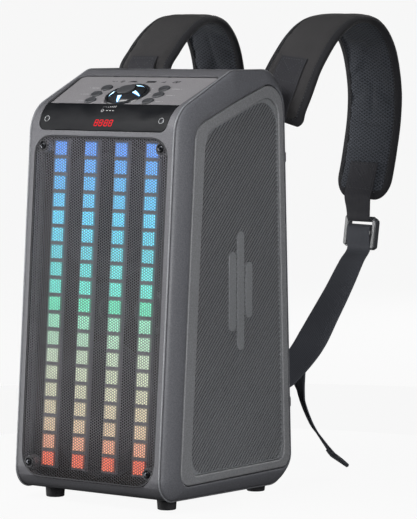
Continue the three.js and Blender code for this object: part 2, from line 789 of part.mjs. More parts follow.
// A flat band along a curve: its width stays near X, its thickness across the route.
function ribbon(points, stations, widthAt, thickness, roundEdge = true) {
  const curve = new THREE.CatmullRomCurve3(points, false, 'centripetal');
  const rings = [];
  for (let i = 0; i <= stations; i += 1) {
    const t = i / stations;
    const along = curve.getTangentAt(t);
    const wide = new THREE.Vector3(1, 0, 0).addScaledVector(along, -along.x).normalize();
    const out = new THREE.Vector3().crossVectors(along, wide);
    const centre = curve.getPointAt(t);
    const half = widthAt(t) / 2;
    const rise = thickness / 2;
    const edge = roundEdge ? Math.min(rise, half * 0.6) : 0;
    const section = roundEdge
      ? [[half, rise * 0.4], [half - edge, rise], [-half + edge, rise], [-half, rise * 0.4],
        [-half, -rise * 0.4], [-half + edge, -rise], [half - edge, -rise], [half, -rise * 0.4]]
      : [[half, rise], [-half, rise], [-half, -rise], [half, -rise]];
    rings.push(section.map(([w, h]) => centre.clone().addScaledVector(wide, w).addScaledVector(out, h)));
  }
  return loft(rings);
}

// Full width in the middle, a round end of radius RADIUS at each end, LENGTH long.
const roundEnds = (width, length, radius) => (t) => {
  const fromEnd = Math.min(t, 1 - t) * length;
  if (fromEnd >= radius) return width;
  const rest = radius - fromEnd;
  return width - 2 * (radius - Math.sqrt(Math.max(radius * radius - rest * rest, 0))) * 0.75;
};

function routeLength(points) {
  return new THREE.CatmullRomCurve3(points, false, 'centripetal').getLength();
}

function padShape(side) {
  const points = routePoints(PAD_ROUTES[side], side);
  return ribbon(points, 30, roundEnds(STRAP_WIDTH, routeLength(points), 22), STRAP_THICKNESS);
}

// A strip laid on the pad between two shares of its length, on its outer (+1) or inner (-1) face.
function onPad(side, from, to, face, count) {
  const curve = new THREE.CatmullRomCurve3(routePoints(PAD_ROUTES[side], side), false, 'centripetal');
  const lift = face * (STRAP_THICKNESS / 2 + WEB_THICKNESS / 2 + 1.2);
  return Array.from({ length: count + 1 }, (_, i) => {
    const t = from + ((to - from) * i) / count;
    const along = curve.getTangentAt(t);
    const wide = new THREE.Vector3(1, 0, 0).addScaledVector(along, -along.x).normalize();
    const out = new THREE.Vector3().crossVectors(wide, along);
    return curve.getPointAt(t).addScaledVector(out, lift);
  });
}

// Points of webbing that lies against the back, X to the side, at these heights.
function underLoop(x, heights) {
  const lift = WEB_THICKNESS / 2 + 2 * GAP;
  return heights.map((z) => new THREE.Vector3(x, backAt(z) + lift, z));
}

// Webbing sewn on the pad's outer face, led down and under the upper loop.
function upperWebShape(side) {
  const sewn = onPad(side, 0.04, 0.17, 1, 5).reverse();
  const points = [...sewn, ...underLoop(UPPER_LOOP[0], [394, 380, 368])];
  return ribbon(points, 16, () => WEB_WIDTH, WEB_THICKNESS, false);
}

const BUCKLE = { depth: 161, z: 286, x: 98.5, lean: -4 };

function buckleCentre(side) {
  return new THREE.Vector3(BUCKLE.x, BACK_START + BUCKLE.depth * STRAP_REACH[side], BUCKLE.z);
}

// Webbing sewn on the pad's inner face and led over the buckle's top bar.
function buckleWebShape(side) {
  const sewn = onPad(side, 0.9, 1, -1, 4);
  const bar = [20, 12].map((z) => buckleCentre(side).add(new THREE.Vector3(0, -6, z)));
  return ribbon([...sewn, ...bar], 10, () => WEB_WIDTH, WEB_THICKNESS, false);
}

// Ladder lock: a frame with cross bars and three slots.
function buckleShape(side) {
  const bar = (from, to) => prism(roundedPath(box2(20, from, to, 1.5), 2), -9, 9);
  const frame = prism(roundedPath(box2(26, -19, 19, 5), 4), -3, 3);
  const spot = buckleCentre(side);
  return at(geometryOf(cut(frame, bar(7, 14), bar(-4, 3.5), bar(-14, -7.5))), tilted(90 + BUCKLE.lean, 0, 0)
    .setPosition(spot.x, spot.y, spot.z));
}

// Webbing from the buckle down to the lower loop, with its loose tail.
function lowerWebShape(side) {
  const behind = [8, -16].map((z) => buckleCentre(side).add(new THREE.Vector3(0, 5.6, z)));
  const points = [...behind, ...routePoints(WEB_ROUTE, side), ...underLoop(LOWER_LOOP[0], [113, 105, 90])];
  const main = ribbon(points, 26, () => WEB_WIDTH, WEB_THICKNESS, false);
  const tail = ribbon(routePoints(TAIL_ROUTE, side), 10, () => WEB_WIDTH - 6, WEB_THICKNESS, false);
  return joined(main, tail);
}

// ---- assembly -----------------------------------------------------------------------------
add('cabinet_band', bandShape(), 'shell');
add('rear_cover', rearCoverShape(), 'shell', BACK);
add('carry_handle', handleShape(), 'shell');
addPair('side_cheek', cheekShape(), 'cheek');
addPair('side_frame', sideFrameShape(), 'frame');
addPair('side_grille', at(geometryOf(sideGrilleShape()), SIDE), 'rib');

add('front_grille', frontGrilleShape(), 'mesh', FRONT);
GRILLE_SCREWS.forEach(([x, s], row) => {
  [-1, 1].forEach((side) => {
    const name = `grille_screw_${row === 0 ? 'top' : 'bottom'}_${side < 0 ? 'left' : 'right'}`;
    add(name, screwShape(3.4, 1.6, 1.4, 8.5), 'steel', FRONT.clone().multiply(
      new THREE.Matrix4().makeTranslation(side * x, s, -0.35),
    ));
  });
});
LED_COLUMNS.forEach((column, i) => {
  add(`light_bar_${i + 1}`, lightBarShape(), 'led', FRONT.clone().multiply(
    new THREE.Matrix4().makeTranslation(column * LED_PITCH, 0, 0),
  ));
});

const onBaffle = (x, s) => FRONT.clone().multiply(new THREE.Matrix4().makeTranslation(x, s, BAFFLE_FACE));
add('baffle_board', baffleShape(), 'board', FRONT);
WOOFER_HEIGHTS.forEach((s, i) => {
  const place = i === 0 ? 'lower' : 'upper';
  add(`woofer_frame_${place}`, wooferFrame(), 'metal', onBaffle(0, s));
  add(`woofer_cone_${place}`, wooferCone(), 'cone', onBaffle(0, s));
  add(`woofer_surround_${place}`, surroundShape(), 'rubber', onBaffle(0, s));
});
add('tweeter', tweeterShape(), 'metal', onBaffle(0, TWEETER_HEIGHT));
add('bass_port', portShape(), 'shell', onBaffle(PORT_OFFSET, TWEETER_HEIGHT));

const onPanel = (x, s) => TOP.clone().multiply(new THREE.Matrix4().makeTranslation(x, s, 0));
add('control_panel', controlPanelShape(), 'panel', TOP);
add('control_board', controlBoardShape(), 'pcb', TOP);
add('display_strip', displayStripShape(), 'gloss');
add('display_module', displayModuleShape(), 'pcb', STRIP);
add('knob_ring', knobRing(), 'gloss', onPanel(0, KNOB_CENTRE));
add('volume_knob', volumeKnobShape(), 'gloss', onPanel(0, KNOB_CENTRE));
add('knob_light', knobLight(), 'glow', onPanel(0, KNOB_CENTRE));
add('power_cap', powerCap(), 'button', onPanel(0, KNOB_CENTRE));
buttonSpots.forEach(({ side, x, s }, i) => {
  add(`button_${side < 0 ? 'left' : 'right'}_${(i % 3) + 1}`, buttonShape(), 'button', onPanel(x, s));
});

// The strip bulges above its own frame, so its screws start this far up.
const STRIP_BULGE = 4.8;
const stripScrew = screwShape(3, 1.5, 1.4, 8);
[-1, 1].forEach((side) => {
  add(`strip_screw_${side < 0 ? 'left' : 'right'}`, stripScrew, 'steel', STRIP.clone().multiply(
    new THREE.Matrix4().makeTranslation(side * STRIP_SCREW.x, STRIP_SCREW.v, STRIP_BULGE),
  ));
});

add('io_panel', ioPanelShape(), 'gloss', BACK);
add('amp_board', ampBoardShape(), 'pcb', BACK);
const cellsFloor = BASE_FRONT + WALL + 0.8;
add('battery_pack', prism(roundedPath(box2(70, 144, 204, 6), 2), cellsFloor, 73, [], 1.5), 'battery');

[[-1, 45, 'front_left'], [1, 45, 'front_right'], [-1, 212, 'back_left'], [1, 212, 'back_right']]
  .forEach(([side, y, place]) => {
    const slope = (BASE_FRONT - BASE_BACK) / backAt(BASE_BACK);
    const top = BASE_FRONT - (y + 9) * slope - GAP;
    const foot = turned([[0, 0], [10, 0], [11, 1.2], [11, top - 1.2], [9, top], [0, top]], 12);
    add(`foot_${place}`, moved(foot, side * 79, y), 'rubber');
  });

['right', 'left'].forEach((side) => {
  const onSide = (shape) => {
    const geometry = shape instanceof wasm.Manifold ? geometryOf(shape) : shape;
    return side === 'right' ? geometry : mirrored(geometry);
  };
  add(`strap_pad_${side}`, onSide(padShape(side)), 'fabric');
  add(`upper_webbing_${side}`, onSide(upperWebShape(side)), 'webbing');
  add(`buckle_webbing_${side}`, onSide(buckleWebShape(side)), 'webbing');
  add(`buckle_${side}`, onSide(buckleShape(side)), 'shell');
  add(`lower_webbing_${side}`, onSide(lowerWebShape(side)), 'webbing');
});

const span = new THREE.Box3().setFromObject(group);
group.position.y = -(span.min.y + span.max.y) / 2;

export default group;
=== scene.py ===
"""The looks of a party speaker with backpack straps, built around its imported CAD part.

Metres, +Z up, front towards -Y. Outlines are given in millimetres on the faces of the cabinet.
"""
import math

import bpy
import numpy as np
from mathutils import Matrix, Vector, noise as field

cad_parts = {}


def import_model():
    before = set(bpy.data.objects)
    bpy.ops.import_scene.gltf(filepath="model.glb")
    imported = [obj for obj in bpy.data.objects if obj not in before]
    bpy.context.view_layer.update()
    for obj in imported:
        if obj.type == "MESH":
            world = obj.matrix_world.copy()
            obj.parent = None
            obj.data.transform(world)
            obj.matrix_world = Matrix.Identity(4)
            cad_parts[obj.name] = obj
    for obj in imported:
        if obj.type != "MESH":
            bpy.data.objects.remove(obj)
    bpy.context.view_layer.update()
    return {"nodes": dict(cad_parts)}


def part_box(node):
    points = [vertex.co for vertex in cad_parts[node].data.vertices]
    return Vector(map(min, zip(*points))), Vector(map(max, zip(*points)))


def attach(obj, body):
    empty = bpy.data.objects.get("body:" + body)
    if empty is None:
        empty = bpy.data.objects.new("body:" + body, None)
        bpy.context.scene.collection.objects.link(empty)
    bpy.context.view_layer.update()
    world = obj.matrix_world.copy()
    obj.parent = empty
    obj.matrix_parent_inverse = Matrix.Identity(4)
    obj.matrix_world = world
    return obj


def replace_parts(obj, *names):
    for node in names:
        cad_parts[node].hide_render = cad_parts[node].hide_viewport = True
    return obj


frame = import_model()
NODES = frame["nodes"]
MM = 0.001
SCENE = bpy.context.scene


# ---- camera -----------------------------------------------------------------------------------
def aim(obj, place, target):
    """Puts a camera or a light at a place, looking at its target."""
    obj.location = place
    obj.rotation_mode = "QUATERNION"
    obj.rotation_quaternion = (Vector(target) - Vector(place)).to_track_quat("-Z", "Y")


def make_camera():
    azimuth, elevation = math.radians(36.569), math.radians(4.359)
    target = Vector((0.0951, -0.1123, 0.2716))
    distance = 3.276
    away = Vector((
        math.sin(azimuth) * math.cos(elevation),
        -math.cos(azimuth) * math.cos(elevation),
        math.sin(elevation),
    ))
    data = bpy.data.cameras.new("camera")
    data.sensor_width = 36.0
    data.lens = 206.58
    data.clip_end = 100.0
    SCENE.camera = bpy.data.objects.new("camera", data)
    SCENE.collection.objects.link(SCENE.camera)
    aim(SCENE.camera, target + away * distance, target)


make_camera()

# ---- driving dimensions, in millimetres ---------------------------------------------------------
CABINET_TOP = 479
BACK_AT_FLOOR = 244.9
SIDE_HALF = 111
BASE_FRONT, BASE_BACK = 13, 8.5  # heights of the underside
FRONT_LEAN, TOP_SLOPE, BACK_LEAN = 4.2, 23.8, 2.16  # degrees
BROW = (30, 431)  # depth and height where the control panel's plane starts
RIM_RISE = 2
WINDOW = [(-93.4, 27.8, 26), (-93.4, 408.4, 21), (93.4, 408.4, 21), (93.4, 27.8, 26)]
GRILLE_SCREWS = [(82.5, 396.3, "top"), (83.3, 43.2, "bottom")]
LED_FACE = -10.4  # behind the front plane
LED_ROWS = 19
LED_PITCH = 42.7  # from one column of blocks to the next
PANEL = [(-92.5, 23.8, 1.5), (-98, 99.5, 9), (98, 99.5, 9), (92.5, 23.8, 1.5)]
KNOB_CENTRE = 51.5
BUTTON_CIRCLE = 43.5
BUTTON_RADIUS = 6.7
SEAM_FRONT, SEAM_LOW, SEAM_HIGH = 25.5, 28, 418.5  # behind the front line, and heights
RIB_FRONT, RIB_LOW, RIB_HIGH = 44.5, 38, 411.5
STRAP_REACH = {"right": 1.0, "left": 0.865}  # how far back each strap hangs, as a share
STRAP_WIDTH = 75
WEB_WIDTH = 38
TAIL_WIDTH = 32
BACK_START = 237
BEAD_OUT = 100.4
SIGN = {"right": 1, "left": -1}


def box_centre(node):
    low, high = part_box(node)
    return (low + high) / 2


# The row frame's origin is the middle of the whole object; the outlines count depth from the front.
SHIFT = box_centre("foot_front_left").y - 45 * MM


def tilted(angle, y, z):
    """A face turned up from level by an angle, starting at a depth and a height."""
    place = Matrix.Translation((0, y * MM + SHIFT, z * MM))
    return place @ Matrix.Rotation(math.radians(angle), 4, "X")


FRONT = tilted(90 - FRONT_LEAN, 0, 0)
TOP = tilted(TOP_SLOPE, *BROW)
BACK = (
    Matrix.Translation((0, BACK_AT_FLOOR * MM + SHIFT, 0))
    @ Matrix.Rotation(math.pi, 4, "Z")
    @ Matrix.Rotation(math.radians(90 - BACK_LEAN), 4, "X")
)
SIDE = {
    "right": Matrix(((0, 0, 1, 0), (1, 0, 0, SHIFT), (0, 1, 0, 0), (0, 0, 0, 1))),
    "left": Matrix(((0, 0, -1, 0), (1, 0, 0, SHIFT), (0, 1, 0, 0), (0, 0, 0, 1))),
}


def slope(degrees):
    return math.tan(math.radians(degrees))


def front_at(z):
    return z * slope(FRONT_LEAN)


def back_at(z):
    return BACK_AT_FLOOR - z * slope(BACK_LEAN)


def rim_at(y):
    """The height of the top slope's rim at a depth."""
    return BROW[1] + (y - BROW[0]) * slope(TOP_SLOPE) + RIM_RISE / math.cos(math.radians(TOP_SLOPE))


BROW_Z = rim_at(0) / (1 - slope(FRONT_LEAN) * slope(TOP_SLOPE))
RIDGE_Y = BROW[0] + (CABINET_TOP - rim_at(BROW[0])) / slope(TOP_SLOPE)
# outlines of the side as (depth, height, radius): the whole, the cheek's seam and the ribbed area
PROFILE = [
    (front_at(BASE_FRONT), BASE_FRONT, 24),
    (front_at(BROW_Z), BROW_Z, 40),
    (RIDGE_Y, CABINET_TOP, 30),
    (back_at(CABINET_TOP), CABINET_TOP, 36),
    (back_at(BASE_BACK), BASE_BACK, 34),
]
SEAM = [
    (SEAM_FRONT + front_at(SEAM_LOW), SEAM_LOW, 16),
    (SEAM_FRONT + front_at(SEAM_HIGH), SEAM_HIGH, 26),
    (130, 444.5, 60),
    (219.2, 472.3, 30),
    (236, SEAM_LOW, 15),
]
RIBBED = [
    (RIB_FRONT + front_at(RIB_LOW), RIB_LOW, 12),
    (RIB_FRONT + front_at(RIB_HIGH), RIB_HIGH, 18),
    (210, 455, 22),
    (224, RIB_LOW, 11),
]


# ---- outlines -----------------------------------------------------------------------------------
def rounded(corners, steps=10):
    """The corners (u, v, radius) as a closed path with an arc at each corner."""
    path = []
    for i, (u, v, radius) in enumerate(corners):
        here = Vector((u, v))
        back = (Vector(corners[i - 1][:2]) - here).normalized()
        ahead = (Vector(corners[(i + 1) % len(corners)][:2]) - here).normalized()
        half = math.acos(max(-1, min(1, back.dot(ahead)))) / 2
        centre = here + (back + ahead).normalized() * (radius / math.sin(half))
        start = here + back * (radius / math.tan(half)) - centre
        end = here + ahead * (radius / math.tan(half)) - centre
        turn = math.atan2(start.x * end.y - start.y * end.x, start.dot(end))
        for k in range(steps + 1):
            path.append(centre + Matrix.Rotation(turn * k / steps, 2) @ start)
    return path


def inset(corners, distance):
    """Every edge of a clockwise corner list moved inwards."""
    moved = []
    for (u, v, _), (nu, nv, _) in zip(corners, corners[1:] + corners[:1]):
        along = Vector((nu - u, nv - v)).normalized()
        moved.append((Vector((u, v)) + Vector((along.y, -along.x)) * distance, along))
    result = []
    for i, (_, _, radius) in enumerate(corners):
        (p, a), (q, b) = moved[i - 1], moved[i]
        gap = q - p
        t = (gap.x * b.y - gap.y * b.x) / (a.x * b.y - a.y * b.x)
        corner = p + a * t
        result.append((corner.x, corner.y, max(radius - distance, 1)))
    return result


def slab(half, bottom, top, radius, middle=0):
    """The corners of an upright rounded rectangle."""
    left, right = middle - half, middle + half
    return [(left, bottom, radius), (left, top, radius), (right, top, radius), (right, bottom, radius)]


def spoke(x, y, radius, degrees):
    """A point on a circle."""
    angle = math.radians(degrees)
    return Vector((x + radius * math.cos(angle), y + radius * math.sin(angle)))


def circle(x, y, radius, count=40):
    return [spoke(x, y, radius, -360 * k / count) for k in range(count)]


# ---- materials ----------------------------------------------------------------------------------
WHITE = "ffffff"
WAVE_RATE = 10  # the wave texture's period is pi / (10 x its scale)


def rgb(code):
    """A hexadecimal screen colour as linear light."""
    screen = [int(code[i:i + 2], 16) / 255 for i in (0, 2, 4)]
    return tuple(c / 12.92 if c <= 0.04045 else ((c + 0.055) / 1.055) ** 2.4 for c in screen) + (1.0,)


def scaled(colour, factor):
    return tuple(c * factor for c in colour[:3]) + (1.0,)


class Look:
    """A Principled material with the nodes that drive it."""

    def __init__(self, name, roughness=0.5, metallic=0.0, **sockets):
        self.data = bpy.data.materials.new(name)
        self.data.use_nodes = True
        self.tree = self.data.node_tree
        self.surface = self.tree.nodes["Principled BSDF"]
        for socket, value in dict(sockets, Roughness=roughness, Metallic=metallic).items():
            self.surface.inputs[socket.replace("_", " ")].default_value = value

    def feed(self, socket, value):
        """Links a socket to another one, or sets its value."""
        if isinstance(value, bpy.types.NodeSocket):
            self.tree.links.new(value, socket)
        else:
            socket.default_value = value

    def node(self, kind, values=(), **settings):
        made = self.tree.nodes.new("ShaderNode" + kind)
        for name, value in settings.items():
            setattr(made, name, value)
        for socket, value in dict(values).items():
            self.feed(made.inputs[socket], value)
        return made

    def drive(self, **sources):
        for socket, source in sources.items():
            self.tree.links.new(source, self.surface.inputs[socket.replace("_", " ")])

    def place(self, kind="Object", scale=(1, 1, 1), turn=0.0):
        source = self.node("TexCoord").outputs[kind]
        mapping = self.node("Mapping", {"Vector": source, "Scale": scale, "Rotation": (0, 0, turn)})
        return mapping.outputs["Vector"]

    def noise(self, scale, detail=2.0, place=None, distortion=0.0):
        vector = place or self.place()
        values = {"Vector": vector, "Scale": scale, "Detail": detail, "Distortion": distortion}
        return self.node("TexNoise", values).outputs["Fac"]

    def cords(self, pitch, place, direction="X"):
        """A sine over UVs that count metres, with its pitch in millimetres."""
        values = {"Vector": place, "Scale": math.pi / (pitch * MM) / WAVE_RATE, "Distortion": 0.0}
        return self.node("TexWave", values, bands_direction=direction).outputs["Fac"]

    def math(self, operation, a, b=0.0):
        return self.node("Math", {0: a, 1: b}, operation=operation).outputs[0]

    def span(self, value, low, high, start=0.0, end=1.0):
        values = {"Value": value, "From Min": start, "From Max": end, "To Min": low, "To Max": high}
        return self.node("MapRange", values).outputs["Result"]

    def spread(self, noise, low, high):
        """A noise's usual values from 0.3 to 0.7 as values from LOW to HIGH."""
        return self.span(noise, low, high, 0.3, 0.7)

    def blend(self, fac, a, b, kind="MIX"):
        made = self.node("Mix", data_type="RGBA", blend_type=kind)
        for i, value in zip((0, 6, 7), (fac, a, b)):
            self.feed(made.inputs[i], value)
        return made.outputs[2]

    def shades(self, fac, code, dark, light):
        """A colour between two strengths of itself."""
        return self.blend(fac, scaled(rgb(code), dark), scaled(rgb(code), light))

    def ramp(self, fac, stops):
        made = self.node("ValToRGB", {"Fac": fac})
        elements = made.color_ramp.elements
        while len(elements) < len(stops):
            elements.new(0.5)
        for element, (position, code) in zip(elements, stops):
            element.position = position
            element.color = rgb(code)
        return made.outputs["Color"]

    def finished(self, colour, roughness, height, relief, strength=1.0):
        """The material, with its colour, its roughness and a relief in millimetres all driven."""
        bump = self.node("Bump", {"Height": height, "Distance": relief * MM, "Strength": strength})
        self.drive(Base_Color=colour, Roughness=roughness, Normal=bump.outputs["Normal"])
        return self.data


def moulded(name, code, roughness=0.5, grain=0.05, grain_scale=900.0, mottle=0.16, **sockets):
    """Spark-eroded plastic: fine grain, slow colour drift and handled, smoother patches."""
    look = Look(name, **sockets)
    fine = look.noise(grain_scale, 3.0)
    slow = look.shades(look.noise(7.0, 3.0), code, 1 - mottle, 1 + mottle)
    speckle = look.shades(look.spread(fine, 0.0, 1.0), WHITE, 0.8, 1.2)
    worn = look.math("ADD", look.spread(look.noise(18.0, 4.0), -0.07, 0.07), roughness)
    return look.finished(look.blend(1.0, slow, speckle, "MULTIPLY"), worn, fine, grain)


def glossy(name, code, roughness=0.12, coat=0.3, **sockets):
    """Polished plastic with faint smudges and a slight moulding waviness."""
    look = Look(name, Coat_Weight=coat, Coat_Roughness=0.05, **sockets)
    colour = look.shades(look.noise(30.0, 4.0), code, 0.9, 1.1)
    smudges = look.spread(look.noise(55.0, 5.0), roughness * 0.7, roughness * 1.6)
    return look.finished(colour, smudges, look.noise(22.0, 1.0), 0.05, 0.4)


def metal(name, code, roughness=0.3):
    """Turned or brushed metal with fine lines."""
    look = Look(name, metallic=1.0)
    lines = look.noise(320.0, 3.0, look.place(scale=(1, 1, 40)))
    colour = look.shades(lines, code, 0.75, 1.15)
    return look.finished(colour, look.span(lines, roughness * 0.8, roughness * 1.4), lines, 0.02)


def coated(name, code, painted_shade_heights=None):
    """Powder coat on steel: a fine orange peel with brighter specks, and painted shade that darkens it
    below the two given heights.
    """
    look = Look(name, metallic=0.2, Specular_IOR_Level=0.55)
    peel = look.noise(1500.0, 2.0)
    tone = look.shades(look.noise(24.0, 3.0), code, 0.8, 1.25)
    if painted_shade_heights:
        # painted shade: the colour darkens towards the bottom, where less light falls, below the given
        # heights
        height = look.node("SeparateXYZ", {"Vector": look.place()}).outputs["Z"]
        tone = look.blend(look.span(height, 0.0, 1.0, *painted_shade_heights), scaled(rgb(code), 0.22), tone)
    colour = look.blend(look.span(peel, 0, 1, 0.62, 0.75), tone, scaled(rgb(code), 1.8))
    return look.finished(colour, look.spread(peel, 0.34, 0.54), peel, 0.04)


def rubbery(name, code):
    """Matt rubber with a little dust."""
    look = Look(name, Specular_IOR_Level=0.35)
    dust = look.noise(60.0, 5.0)
    colour = look.shades(look.span(dust, 0, 1, 0.4, 0.8), code, 1, 1.5)
    return look.finished(colour, look.span(dust, 0.7, 0.92), look.noise(700.0, 3.0), 0.06)


def circuit(name):
    """A green circuit board with lighter tracks and a fine noise relief."""
    look = Look(name, Coat_Weight=0.4, Coat_Roughness=0.2)
    tracks = {"Vector": look.place(), "Scale": 140.0, "Mortar Size": 0.03,
              "Color1": rgb("14402a"), "Color2": rgb("1a4c34"), "Mortar": rgb("3d7a55")}
    colour = look.node("TexBrick", tracks).outputs["Color"]
    return look.finished(colour, look.span(look.noise(90.0), 0.3, 0.5), look.noise(400.0, 2.0), 0.05)


def fibrous(name, shades, noise, roughness, relief, stretch=(1, 1, 1), **sockets):
    """Wood, paper or shrunk film: one noise drives the shades, the roughness and the relief."""
    look = Look(name, **sockets)
    scale, detail, distortion = noise
    grain = look.noise(scale, detail, look.place(scale=stretch), distortion)
    return look.finished(look.ramp(grain, shades), look.span(grain, *roughness), grain, relief)


def woven(name, code, thread, relief=0.16):
    """Plain weave on UVs that count metres: THREAD is one over-under pair in millimetres."""
    look = Look(name, roughness=0.9, Sheen_Weight=0.06, Sheen_Roughness=0.5, Specular_IOR_Level=0.2)
    place = look.place("UV")
    warp, weft = look.cords(thread, place), look.cords(thread, place, "Y")
    under = look.math("MULTIPLY", look.math("SUBTRACT", 1.0, warp), look.math("SUBTRACT", 1.0, weft))
    height = look.math("ADD", look.math("MULTIPLY", warp, weft), under)
    lit = look.shades(height, code, 0.55, 1.35)
    drift = look.shades(look.noise(40.0, 4.0), WHITE, 0.82, 1.18)
    colour = look.blend(1.0, lit, drift, "MULTIPLY")
    return look.finished(colour, look.span(height, 0.95, 0.8), height, relief)


def netted(name, code, pitch):
    """Air-mesh fabric: a diamond net of cords over darker holes."""
    look = Look(name, roughness=0.85, Sheen_Weight=0.05, Sheen_Roughness=0.5, Specular_IOR_Level=0.25)
    one, other = (look.cords(pitch, look.place("UV", turn=math.radians(turn))) for turn in (58, -58))
    height = look.span(look.math("MAXIMUM", one, other), 0.0, 1.0, 0.45, 0.95)
    colour = look.shades(height, code, 0.5, 1.3)
    return look.finished(colour, look.span(look.noise(200.0), 0.75, 0.95), height, 0.5)


def webbed(name, code):
    """Ribbed webbing: cords along its length crossed by close rows."""
    look = Look(name, roughness=0.8, Sheen_Weight=0.03, Sheen_Roughness=0.45, Specular_IOR_Level=0.25)
    place = look.place("UV")
    cords = look.math("MULTIPLY", look.cords(2.1, place), 0.6)
    rows = look.math("MULTIPLY", look.cords(1.15, place, "Y"), 0.4)
    height = look.math("ADD", cords, rows)
    colour = look.shades(height, code, 0.6, 1.35)
    return look.finished(colour, look.span(look.noise(120.0, 3.0), 0.65, 0.9), height, 0.13)


# the blocks' colours by share of the bar's height, from the photo
LED_COLOURS = [
    (0.03, "e36c52"), (0.08, "d69c7f"), (0.13, "cbb597"), (0.24, "c5c7ad"), (0.34, "bcceb6"),
    (0.39, "add1b7"), (0.45, "97dbbd"), (0.50, "6ce0ba"), (0.56, "6ee4d7"), (0.66, "66d0de"),
    (0.76, "66d8fc"), (0.87, "5eb8f0"), (0.97, "5b9bf2"),
]
# how far from a block's middle its light fades, as shares of the row and of the column pitch
ROW_FADE, COLUMN_FADE = (0.355, 0.4), (0.17, 0.195)


def lit_block(name):
    """Blocks that run from blue at the top down to red, one colour each and dark between them."""
    look = Look(name, roughness=0.35)
    low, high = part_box("light_bar_1")
    axes = look.node("SeparateXYZ", {"Vector": look.place()}).outputs
    row = look.span(axes["Z"], -0.03, LED_ROWS + 0.03, low.z, high.z)
    half_row = 0.5 / LED_ROWS
    share = look.span(look.math("FLOOR", row), half_row, 1 + half_row, 0.0, LED_ROWS)
    column = look.math("DIVIDE", axes["X"], LED_PITCH * MM)
    glow = []
    for value, edge in ((row, ROW_FADE), (column, COLUMN_FADE)):
        off_centre = look.math("ABSOLUTE", look.math("SUBTRACT", look.math("FRACT", value), 0.5))
        glow.append(look.span(off_centre, 1.0, 0.12, *edge))
    colour = look.ramp(share, LED_COLOURS)
    even = look.spread(look.noise(160.0, 3.0), 1.08, 1.34)
    strength = look.math("MULTIPLY", even, look.math("MULTIPLY", *glow))
    body = look.blend(0.7, colour, rgb("505050"))
    look.drive(Base_Color=body, Emission_Color=colour, Emission_Strength=strength)
    return look.data


def glowing(name, code, strength, body=1.0):
    """A lit window or digit; BODY is its own colour's strength when unlit."""
    look = Look(name, roughness=0.25, Emission_Color=rgb(code))
    soft = look.noise(260.0, 2.0)
    even = look.spread(soft, strength * 0.85, strength * 1.1)
    look.drive(Base_Color=look.shades(soft, code, 0.85 * body, body), Emission_Strength=even)
    return look.data


BAND = moulded("band_plastic", "68686c", 0.42, mottle=0.08, Specular_IOR_Level=0.45)
CHEEK = moulded("cheek_plastic", "67686d", 0.5, 0.09, 700.0, 0.08)
RIM = moulded("frame_plastic", "87888b", 0.45, 0.09, 700.0, 0.08)
RIBS = moulded("rib_plastic", "77797c", 0.42, 0.03)
# painted shade: near black plastic for the groove floors and the floor under the ribs, where shade falls
GROOVE_SHADE = moulded("groove_painted_shade", "26272a", 0.6, 0.03)
EMBLEM = moulded("emblem_plastic", "87898c", 0.4, 0.02)
BEAD = moulded("bead_plastic", "85878b", 0.35, 0.02)
SHELL = moulded("shell_plastic", "4c4d50", 0.5, 0.08, 700.0)
CONTROL = moulded("panel_plastic", "929093", 0.38, 0.02, 1400.0, 0.05)
BUTTON = moulded("button_plastic", "48494c", 0.5, 0.05, 900.0, 0.06)
BUCKLE = moulded("buckle_plastic", "46484b", 0.38, 0.03, 900.0, 0.06)
DISPLAY = glossy("display_plastic", "16171a", 0.42, 0.0, Specular_IOR_Level=0.25)
DIAL = glossy("dial_plastic", "2a2b2e", 0.22)
SOCKET = glossy("socket_plastic", "1c1d1f", 0.3)
# painted shade: the sheet is darkened fully below 30 mm up, fading out by 90 mm
PERFORATED = coated("perforated_steel", "737277", painted_shade_heights=(0.03, 0.09))
GRILLE_RIM = coated("grille_rim_steel", "2c2c2f")
DRIVER = coated("driver_metal", "2a2b2e")
STEEL = metal("screw_steel", "4b4c50")
NICKEL = metal("nickel", "a9abad", 0.5)
RUBBER = rubbery("rubber", "2b2b2d")
CIRCUIT = circuit("circuit_board")
WOOD = fibrous("baffle_wood", ((0.3, "17120e"), (0.7, "2a211a")), (26, 6, 1.4), (0.65, 0.9), 0.15,
               stretch=(1, 1, 9))
PAPER = fibrous("cone_paper", ((0.3, "121314"), (0.75, "2b2c2f")), (480, 5, 0.6), (0.6, 0.9), 0.08,
                Specular_IOR_Level=0.3)
WRAP = fibrous("battery_wrap", ((0.3, "16346b"), (0.7, "2450a0")), (45, 4, 1), (0.2, 0.4), 0.3,
               Coat_Weight=0.5, Coat_Roughness=0.12)
DIFFUSER = glossy("light_diffuser", "77757d", 0.4, 0.0)
LIT = lit_block("lit_block")
CLOTH = woven("strap_cloth", "3a393a", 1.1)
NET = netted("air_mesh", "373a40", 3.4)
BINDING = woven("binding_tape", "29292c", 0.9, 0.12)
WEBBING = webbed("webbing", "45474d")
SEWN_WEBBING = webbed("sewn_webbing", "2f2f33")
THREAD = woven("thread", "55585c", 0.5, 0.05)
GLOW = glowing("dial_glow", "c9f1ff", 1.6)
DIGIT = glowing("digit_glow", "ee0a1e", 1.15, 0.1)
GLOW_EDGE = glowing("dial_glow_edge", "2f8fe0", 1.2)
MARK = moulded("printed_mark", "d6d6d8", 0.5, 0.01)
DARK_MARK = moulded("printed_dark_mark", "26272a", 0.5, 0.01)


# ---- mesh making --------------------------------------------------------------------------------
SHARP_FROM, BEVEL_FROM, SPLIT_FROM = 35, 50, 38  # degrees between faces


def positions(mesh):
    return np.array([v.co for v in mesh.vertices])


def shade_smooth(mesh):
    mesh.polygons.foreach_set("use_smooth", [True] * len(mesh.polygons))


def added(name, data):
    """A new object in the scene."""
    obj = bpy.data.objects.new(name, data)
    SCENE.collection.objects.link(obj)
    return obj


def finish_piece(obj, look, body, smooth):
    for one in look if isinstance(look, list) else [look]:
        obj.data.materials.append(one)
    shade_smooth(obj.data)
    obj.data.set_sharp_from_angle(angle=math.radians(smooth))
    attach(obj, body)
    return obj


